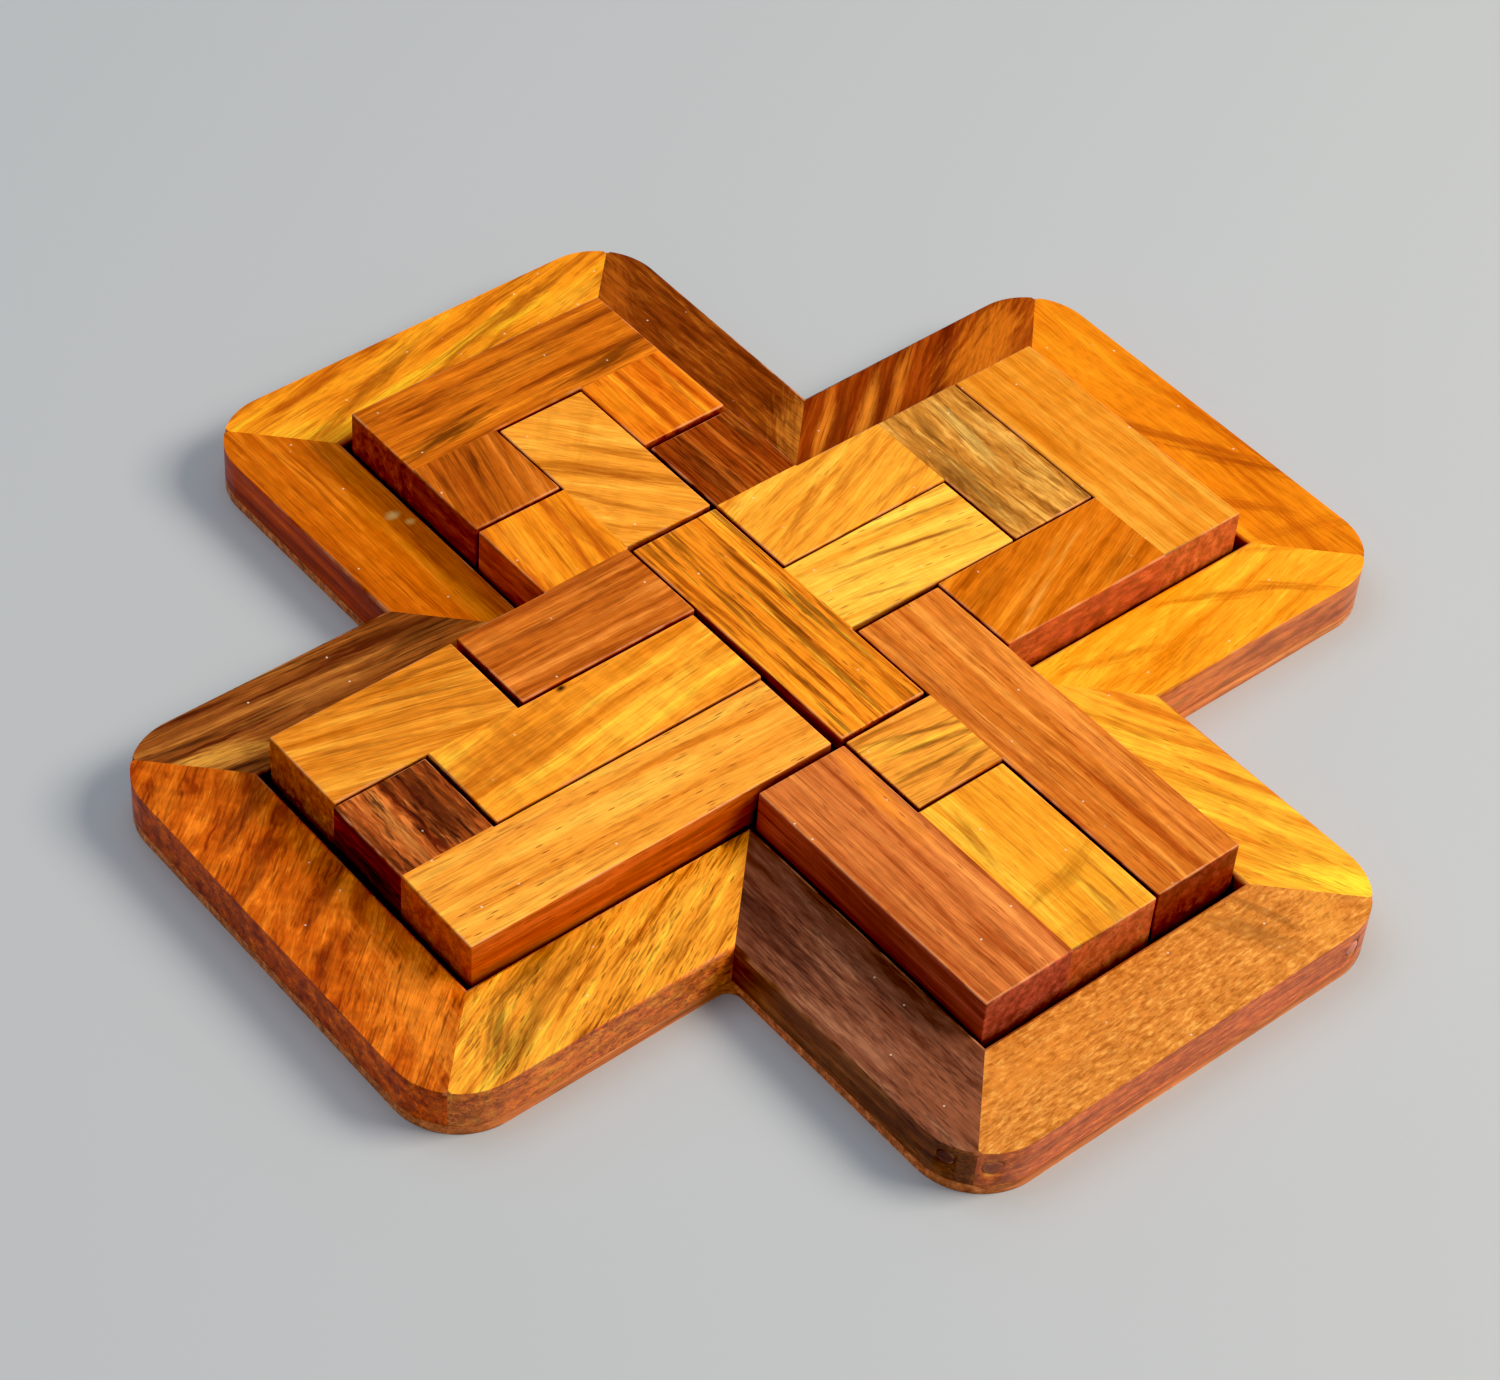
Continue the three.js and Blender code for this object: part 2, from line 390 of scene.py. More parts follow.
    def _top(self, fibre: bpy.types.NodeSocket, pores: bpy.types.NodeSocket) -> bpy.types.NodeSocket:
        """The colour of the sanded face.

        Args:
            fibre: The silky fibre.
            pores: Where the open pores are.

        Returns:
            The colour.
        """
        timber = self.timber
        line = linear(timber.line)
        tone = self._grain(self.curled, timber.band_length_mm, timber.band_mm, Layer.BANDS, 5.0)
        paler = self.add("MapRange", SMOOTH, (tone, 0.33, 0.5))[0]
        palest = self.add("MapRange", SMOOTH, (tone, 0.5, 0.67))[0]
        dark, middle = linear(timber.dark), linear(timber.middle)
        colour = self.add("Mix", BLEND, {SHARE: paler, LOWER: dark, UPPER: middle})[MIXED]
        colour = self.add("Mix", BLEND, {SHARE: palest, LOWER: colour, UPPER: linear(timber.light)})[MIXED]
        for number, streak in enumerate(timber.streaks):
            layers = {SHARE: self._streak(streak, number), LOWER: colour, UPPER: linear(streak.colour)}
            colour = self.add("Mix", BLEND, layers)[MIXED]
        colour = self.add("Mix", BLEND, {SHARE: self._growth_lines(), LOWER: colour, UPPER: line})[MIXED]
        # Painted sheen: the ripple across the grain stands in for the wood's chatoyant shimmer.
        ripple = self._grain(self.figure, 2.5, 9.0, Layer.RIPPLE)
        silk = self.add("MapRange", SMOOTH, (fibre, 0.3, 0.7, 1 - timber.fibre, 1 + timber.fibre))[0]
        sway = self.add("MapRange", SMOOTH, (ripple, 0.32, 0.68, 1 - timber.ripple, 1 + timber.ripple))[0]
        shine = self.add("Math", PRODUCT, (silk, sway))[0]
        colour = self.add("VectorMath", SCALED, {"Vector": colour, "Scale": shine})[0]
        share = self.add("Math", PRODUCT, (pores, timber.pores))[0]
        colour = self.add("Mix", BLEND, {SHARE: share, LOWER: colour, UPPER: line})[MIXED]
        # Painted glints: pale specks on the wax.
        layers = {SHARE: self._specks(), LOWER: colour, UPPER: linear(self.GLINT_COLOUR)}
        return self.add("Mix", BLEND, layers)[MIXED]

    def _growth_lines(self) -> bpy.types.NodeSocket:
        """The dark growth lines, which come in patches.

        Returns:
            How much each point is under a line.
        """
        timber = self.timber
        tone = self._grain(self.figure, timber.line_length_mm, timber.line_mm, Layer.LINES, 3.0)
        # The pattern piles up near a half, so a share of the face maps to a level near it.
        level = 0.5 + 0.16 * (1 - 2 * timber.line_share)
        lines = self.add("MapRange", SMOOTH, (tone, level - 0.06, level + 0.08, 0.0, timber.line_strength))[0]
        clouds = self._grain(self.figure, 18.0, 6.0, Layer.PATCHES, 1.0)
        patches = self.add("MapRange", SMOOTH, (clouds, 0.35, 0.6, 0.25, 1.0))[0]
        return self.add("Math", PRODUCT, (lines, patches))[0]

    def _streak(self, streak: Streak, number: int) -> bpy.types.NodeSocket:
        """How much each point is under one streak.

        Args:
            streak: The streak.
            number: Its number on the stick.

        Returns:
            Its share of the colour.
        """
        # On average the bend moves the face by 0.3 of its reach along X and by all of it along Y, and the
        # streak goes with it.
        place = (streak.x_mm + 0.3 * self.BEND_MM, streak.y_mm + self.BEND_MM, 0.0)
        turn = (0.0, 0.0, math.radians(streak.angle_deg))
        inputs = {"Vector": self.bent, "Location": place, "Rotation": turn}
        own = self.add("Mapping", {"vector_type": "TEXTURE"}, inputs)[0]
        size = (2 / streak.length_mm, 2 / streak.width_mm, 0.0)
        oval = self.add("VectorMath", PRODUCT, (own, size))[0]
        away = self.add("VectorMath", {"operation": "LENGTH"}, (oval,))["Value"]
        cloud = self._grain(own, 9.0, 0.9, Layer.FIRST_STREAK + number, 3.0)
        fray = self.add("Math", {"operation": "SUBTRACT"}, (cloud, 0.5))[0]
        rim = self.add("Math", {"operation": "MULTIPLY_ADD"}, (fray, self.FRAY * streak.ragged, away))[0]
        return self.add("MapRange", SMOOTH, (rim, 0.1, 1.3, streak.strength, 0.0))[0]

    def _pores(self) -> bpy.types.NodeSocket:
        """The open pores, some of which are filled with wax.

        Returns:
            How much each point is in a pore.
        """
        vector = self._stretched(self.figure, self.PORE_MM, self.timber.pore_gap_mm, Layer.PORES)
        cells = self.add("TexVoronoi", None, {"Vector": vector, "Scale": 1.0})
        holes = self.add("MapRange", SMOOTH, (cells["Distance"], 0.12, 0.26, 1.0, 0.0))[0]
        kind = self.add("SeparateXYZ", None, {"Vector": cells["Color"]})["X"]
        unfilled = self.add("MapRange", SMOOTH, (kind, 0.2, 0.9))[0]
        return self.add("Math", PRODUCT, (holes, unfilled))[0]

    def _specks(self) -> bpy.types.NodeSocket:
        """Pale specks, painted glints of light on the wax, about one to a coin's area.

        Returns:
            How much each point is under a grain.
        """
        vector = self._stretched(self.face, self.SPECK_GAP_MM, self.SPECK_GAP_MM, Layer.GLINTS)
        flat = {"voronoi_dimensions": "2D"}
        cells = self.add("TexVoronoi", flat, {"Vector": vector, "Scale": 1.0, "Randomness": 1.0})
        dots = self.add("MapRange", SMOOTH, (cells["Distance"], 0.012, 0.03, 1.0, 0.0))[0]
        kind = self.add("SeparateXYZ", None, {"Vector": cells["Color"]})["X"]
        some = self.add("MapRange", SMOOTH, (kind, 0.66, 0.95, 0.0, 0.85))[0]
        return self.add("Math", PRODUCT, (dots, some))[0]

    def _sides(self, colour: bpy.types.NodeSocket) -> bpy.types.NodeSocket:
        """Streaks and tints the side faces, which soak up more oil, paints shade and a pink sheen on them,
        and paints shade deep in the gaps.

        Args:
            colour: The colour of the top.

        Returns:
            The colour all round.
        """
        normal = self.add("SeparateXYZ", None, {"Vector": self.coordinates["Normal"]})
        upright = self.add("Math", {"operation": "ABSOLUTE"}, (normal["Z"],))[0]
        turned = self.add("MapRange", SMOOTH, (upright, 0.35, 0.85, 1.0, 0.0))[0]
        soaked = self._grain(self.stick, 40.0, 1.6, Layer.SOAK, 3.0)
        shade = self.add("MapRange", SMOOTH, (soaked, 0.34, 0.66, 0.72, 1.25))[0]
        # Painted shade: the walls deep in the gaps and seams are darkened by how closed in they are.
        reach = {"Distance": self.GAP_MM * MM}
        opened = self.add("AmbientOcclusion", {"samples": 8}, reach)["AO"]
        gap_shade = self.add("MapRange", SMOOTH, (opened, 0.12, 0.42, self.GAP_LIGHT, 1.0))[0]
        shade = self.add("Math", PRODUCT, (shade, gap_shade))[0]
        # Painted shade and painted sheen: the side tint darkens and pinks the edge faces as their lighting
        # did, and the pink mixed in next is a painted sheen.
        side = self.add("Mix", TINT, {SHARE: 1.0, LOWER: colour, UPPER: linear(self.timber.side_tint_and_light)})[MIXED]
        layers = {SHARE: self.timber.side_sheen, LOWER: side, UPPER: linear(self.SHEEN_COLOUR)}
        side = self.add("Mix", BLEND, layers)[MIXED]
        side = self.add("VectorMath", SCALED, {"Vector": side, "Scale": shade})[0]
        return self.add("Mix", BLEND, {SHARE: turned, LOWER: colour, UPPER: side})[MIXED]

    def _worn_and_lit(self, colour: bpy.types.NodeSocket) -> bpy.types.NodeSocket:
        """Rubs the eased edges paler, in patches: bare wood, which also paints the highlight along them.

        Args:
            colour: The colour so far.

        Returns:
            The colour with wear.
        """
        edge = self.add("Attribute", {"attribute_type": "GEOMETRY", "attribute_name": WORN_LIT_EDGE})["Fac"]
        clouds = self._grain(self.stick, 6.0, 6.0, Layer.WORN_LIT)
        patches = self.add("MapRange", SMOOTH, (clouds, 0.38, 0.68, 0.0, 0.5))[0]
        share = self.add("Math", PRODUCT, (edge, patches))[0]
        return self.add("Mix", BLEND, {SHARE: share, LOWER: colour, UPPER: linear(self.BARE_AND_LIT_COLOUR)})[MIXED]


# ---------------------------------------------------------------------------------------------- the woods

ACROSS = Grain.ACROSS
ALONG = Grain.ALONG

# The side tint and the pink side colour of each stick here also paint shade and sheen on its edge faces, set
# by the way they are lit.
BAR_WOOD: dict[str, tuple[Grain, Timber]] = {
    "u_back_bar": (
        ACROSS,
        Timber(
            "#8a3a06", "#ca6810", "#f08a1c", "#6a2a04", line_share=0.3, side_tint_and_light="#cca594",
            streaks=(
                Streak(-19, -6, 28, 3.0, 4, "#4a1a02", 0.85), Streak(-14, -3.5, 20, 1.4, 8, "#5a2404", 0.7),
                Streak(20, -6, 28, 4.5, 6, "#5a2404", 0.75), Streak(19, 6, 30, 4.5, -3, "#94480c", 0.5),
                Streak(4, 2, 30, 7, 0, "#ee8c1e", 0.4),
            ),
        ),
    ),
    "u_left_block": (
        ALONG,
        Timber(
            "#9b4308", "#be6011", "#dd7b25", "#5a2204", -14, band_mm=2.5, line_share=0.35,
            side_tint_and_light="#cca594",
            streaks=(
                Streak(1, 5, 12, 1.2, 72, "#5a2404", 0.8), Streak(-7, 4, 8, 1.0, 76, "#6a2a06", 0.6),
            ),
        ),
    ),
    "u_right_block": (
        ALONG,
        Timber(
            "#b84c04", "#e87812", "#ffa424", "#a03c04", band_mm=2.2, line_strength=0.4,
            streaks=(
                Streak(-1.5, 0, 28, 2.4, 88, "#a84406", 0.7), Streak(6, 1, 28, 2.6, 87, "#b04c08", 0.65),
                Streak(-6, 3, 22, 5, 90, "#ff9e1c", 0.5),
            ),
        ),
    ),
    "w_back_bar": (
        ALONG,
        Timber(
            "#d47e1e", "#f29c30", "#ffba44", "#b8640f", 42, band_mm=3.0, line_share=0.15, wander_mm=3.0,
            streaks=(
                Streak(1, -3, 30, 3.2, -46, "#a8540c", 0.85), Streak(4, 3, 24, 2.4, -42, "#b4600f", 0.75),
                Streak(-5, -8, 22, 2.4, -54, "#b05c10", 0.7), Streak(7, -8, 20, 1.6, -50, "#b4620f", 0.55),
                Streak(4, 11, 20, 2.6, 42, "#cc801f", 0.45), Streak(-3, 15, 16, 3, 50, "#d48a28", 0.4),
                Streak(-5, 5, 14, 2.2, -38, "#b8660f", 0.6),
            ),
        ),
    ),
    "w_middle_block": (
        ALONG,
        Timber(
            "#c46010", "#f08c18", "#ffa628", "#b05408", -8, line_share=0.2, side_tint_and_light="#dba696",
            streaks=(
                Streak(6.5, -2, 22, 5, 97, "#b85c0c", 0.7), Streak(-1, 2, 20, 1.6, 84, "#b8600f", 0.5),
                Streak(-6, 0, 20, 5, 88, "#ffaa30", 0.4),
            ),
        ),
    ),
    "w_front_bar": (
        ACROSS,
        Timber(
            "#a0490c", "#c5671c", "#e58834", "#7a340a", -1, band_mm=2.0, line_mm=0.7, side_tint_and_light="#dba696",
            streaks=(
                Streak(-2, 3.2, 46, 1.5, 0, "#84380a", 0.75), Streak(4, 8.5, 40, 3, 0, "#a04c18", 0.5),
                Streak(10, 0.5, 22, 1.2, 1, "#8a3c0c", 0.5),
            ),
        ),
    ),
    "t_cross_bar": (
        ALONG,
        Timber(
            "#b15508", "#f68f1e", "#ffb934", "#5e2a04", band_mm=1.7, line_mm=0.7, line_share=0.4,
            line_strength=0.7, wander_mm=1.2, pores=0.6,
            streaks=(
                Streak(1, -4, 66, 2.6, 88, "#7a3c06", 0.75), Streak(-3.5, 6, 46, 1.8, 90, "#86440a", 0.65),
                Streak(7, -10, 34, 2.8, 92, "#8a4a0c", 0.55), Streak(4.5, 14, 30, 1.4, 89, "#7a3c08", 0.6),
            ),
        ),
    ),
    "t_stem_bar": (
        ACROSS,
        Timber(
            "#ea9828", "#fcbc40", "#ffd450", "#a8601a", -6, line_share=0.15, pores=0.7,
            streaks=(
                Streak(3, 1, 38, 1.1, -10, "#8a4410", 0.9, 0.5),
                Streak(10, 6.2, 24, 1.0, -6, "#a05818", 0.75, 0.5),
                Streak(-9, -5.5, 18, 1.0, -14, "#a86020", 0.7, 0.5),
                Streak(17, -6, 10, 1.0, -8, "#a05818", 0.6), Streak(-12, 5, 14, 3, -6, "#e89a30", 0.5),
            ),
        ),
    ),
    "z_back_block": (
        ALONG,
        Timber(
            "#6a2001", "#923b07", "#bc601a", "#3a1002", band_mm=1.2, line_mm=0.5, line_length_mm=9,
            line_share=0.4, line_strength=0.7,
            streaks=(
                Streak(-5, 0, 24, 6, 90, "#501a04", 0.6), Streak(8, 5, 14, 4, 88, "#b4621c", 0.6),
            ),
        ),
    ),
    "z_middle_bar": (
        ACROSS,
        Timber(
            "#de8420", "#f8a430", "#ffc244", "#b86414", 18, line_share=0.2, wander_mm=3.0,
            streaks=(
                Streak(-8, -1, 26, 2.6, 30, "#bc6814", 0.75), Streak(6, 2, 24, 2.6, 24, "#c47018", 0.7),
                Streak(-2, 7, 34, 1.8, 14, "#cc7a1c", 0.6), Streak(12, -6, 22, 1.8, 10, "#b46418", 0.6),
                Streak(15, 6, 12, 2, 30, "#c8741c", 0.5),
            ),
        ),
    ),
    "z_right_bar": (
        ALONG,
        Timber(
            "#915518", "#c7812e", "#ebad4f", "#6a4012", band_mm=1.8, band_length_mm=18, line_share=0.3,
            wander_mm=3.0, curl_mm=1.2,
            streaks=(
                Streak(-6.5, -6, 34, 6, 90, "#80501c", 0.75), Streak(2, 8, 26, 4, 84, "#f4c868", 0.6),
                Streak(7.5, -2, 34, 2, 93, "#eab456", 0.6), Streak(3, -10, 18, 2, 95, "#e8b050", 0.5),
                Streak(-3, 12, 16, 2, 80, "#7a4a18", 0.6),
            ),
        ),
    ),
    "v_right_bar": (
        ALONG,
        Timber(
            "#ca700e", "#e18820", "#eea135", "#b4640f", line_share=0.12, line_strength=0.35,
            side_tint_and_light="#d8aed8", side_sheen=0.16,
            streaks=(
                Streak(-2.5, 2.5, 5, 1.8, 55, "#b4660f", 0.5, 0.5),
                Streak(-2, 7, 12, 1.4, 80, "#c4700f", 0.6), Streak(4, 18, 26, 5, 88, "#e08414", 0.4),
                Streak(-5, -18, 26, 4, 92, "#ffae3c", 0.4),
            ),
        ),
    ),
    "v_front_bar": (
        ACROSS,
        Timber(
            "#b35605", "#d4700f", "#ed8d21", "#8a3e04", 22, band_mm=2.5, line_share=0.2, curl_mm=0.6,
            side_tint_and_light="#d8aee4", side_sheen=0.16,
            streaks=(
                Streak(-3, -2, 30, 1.8, 26, "#e08e2c", 0.45), Streak(-1, 1.5, 24, 1.4, 25, "#e08e30", 0.4),
                Streak(-9, -5, 16, 1.4, 28, "#eca044", 0.5), Streak(8, 3, 18, 1.2, 22, "#e89838", 0.45),
                Streak(13, -5, 20, 3.5, 24, "#a8560c", 0.6), Streak(-14, 3, 16, 5, 26, "#b4600f", 0.5),
            ),
        ),
    ),
    "y_long_bar": (
        ALONG,
        Timber(
            "#aa4a0d", "#d07223", "#ec943b", "#8a3a0c", band_mm=2.0, line_mm=0.7, line_share=0.3, pores=0.6,
            side_tint_and_light="#9e689b", side_sheen=0.04,
            streaks=(
                Streak(6, -6, 86, 5, 90, "#f89a44", 0.5), Streak(-7, 12, 70, 3.5, 90, "#a84c14", 0.6),
                Streak(1, -24, 44, 2.4, 88, "#a85018", 0.55), Streak(-2, 30, 34, 3.0, 90, "#e88836", 0.4),
            ),
        ),
    ),
    "y_side_block": (
        ACROSS,
        Timber(
            "#c8741e", "#f09a34", "#ffc03c", "#6e380c", -4, band_mm=2.4, line_share=0.3,
            streaks=(
                Streak(2, 4, 24, 1.3, -18, "#7a3e0c", 0.75), Streak(2, 0.5, 24, 1.4, -13, "#7a400e", 0.75),
                Streak(0, -3.6, 24, 2.0, -4, "#844610", 0.75), Streak(4, -7.4, 18, 1.4, 10, "#7a3e0c", 0.7),
                Streak(-6, 6, 12, 3, -10, "#ffc440", 0.5),
            ),
        ),
    ),
    "p_long_bar": (
        ALONG,
        Timber(
            "#a84e1c", "#d07436", "#f4984a", "#7a300a", band_mm=2.2, line_mm=0.7, line_share=0.3, pores=0.6,
            side_tint_and_light="#c898cc", side_sheen=0.14,
            streaks=(
                Streak(7, 18, 32, 5, 86, "#f49028", 0.7), Streak(-6, -8, 58, 5, 90, "#ac5424", 0.5),
                Streak(3, -16, 24, 3, 90, "#e08440", 0.4), Streak(-4, 22, 22, 3, 90, "#a44c1a", 0.4),
            ),
        ),
    ),
    "p_short_bar": (
        ALONG,
        Timber(
            "#cc7415", "#f49e27", "#fabb39", "#8a4a0a", band_mm=3.0, line_share=0.2, side_tint_and_light="#cc98e0",
            side_sheen=0.14,
            streaks=(
                Streak(-7, 8, 18, 3.0, 82, "#9a560f", 0.6), Streak(-3, -6.6, 18, 4.2, 10, "#b87014", 0.55),
                Streak(5, -5, 16, 4.0, 24, "#bc7616", 0.5), Streak(6, -13, 14, 1.0, 88, "#8a4a0e", 0.7),
                Streak(2.5, -14, 13, 1.0, 92, "#94540f", 0.6), Streak(0, -17, 24, 6, 0, "#d08024", 0.45),
            ),
        ),
    ),
    "l_long_bar": (
        ACROSS,
        Timber(
            "#d77c1d", "#f49f35", "#f9b844", "#8e4412", -2, band_mm=3.0, line_mm=0.6, line_length_mm=9,
            line_share=0.2, line_strength=0.55, pores=0.85, pore_gap_mm=0.65, wander_mm=1.0,
            side_tint_and_light="#d69ca2", side_sheen=0.05,
            streaks=(
                Streak(-24, 7, 40, 3, 0, "#d07a30", 0.4), Streak(10, -7, 50, 3, -2, "#e08c2c", 0.4),
            ),
        ),
    ),
    "l_end_block": (
        ALONG,
        Timber(
            "#621d05", "#a14b18", "#dd7a34", "#240802", band_mm=2.0, line_mm=0.9, line_length_mm=7,
            line_share=0.4, line_strength=0.85, curl_mm=1.4, side_tint_and_light="#c98890",
            streaks=(
                Streak(4.5, 0, 30, 9, 90, "#3c1204", 0.8), Streak(-4, 0, 28, 3.6, 88, "#d0803a", 0.8),
                Streak(-9, 0, 28, 2.4, 90, "#5a2408", 0.6),
            ),
        ),
    ),
    "n_back_bar": (
        ACROSS,
        Timber(
            "#c0690c", "#dd8420", "#f5a735", "#8a4a0c", -15, band_mm=2.4, line_mm=0.6, line_share=0.3,
            side_tint_and_light="#e0cabc",
            streaks=(
                Streak(6, 3, 34, 1.2, -18, "#9a5410", 0.7), Streak(-6, -2, 30, 1.0, -20, "#a45c14", 0.6),
                Streak(8, 7.5, 26, 1.6, -3, "#9a5410", 0.6), Streak(12, -4, 18, 1, -24, "#a05814", 0.6),
            ),
        ),
    ),
    "n_front_bar": (
        ACROSS,
        Timber(
            "#d07412", "#f69a28", "#ffc43a", "#a8600f", 6, band_mm=3.5, line_share=0.15, ripple=0.10,
            side_tint_and_light="#e0cabc",
            streaks=(
                Streak(-16, 3, 36, 13, 8, "#bc6410", 0.7), Streak(8, -4, 44, 6, 13, "#ffc03c", 0.6),
                Streak(2, 6, 50, 5, 4, "#e88a1a", 0.5), Streak(-1.3, 9.2, 2.4, 1.6, 0, "#2c1002", 1.0, 0.2),
                Streak(18, -6, 20, 1.6, 10, "#c47814", 0.5),
            ),
        ),
    ),
}
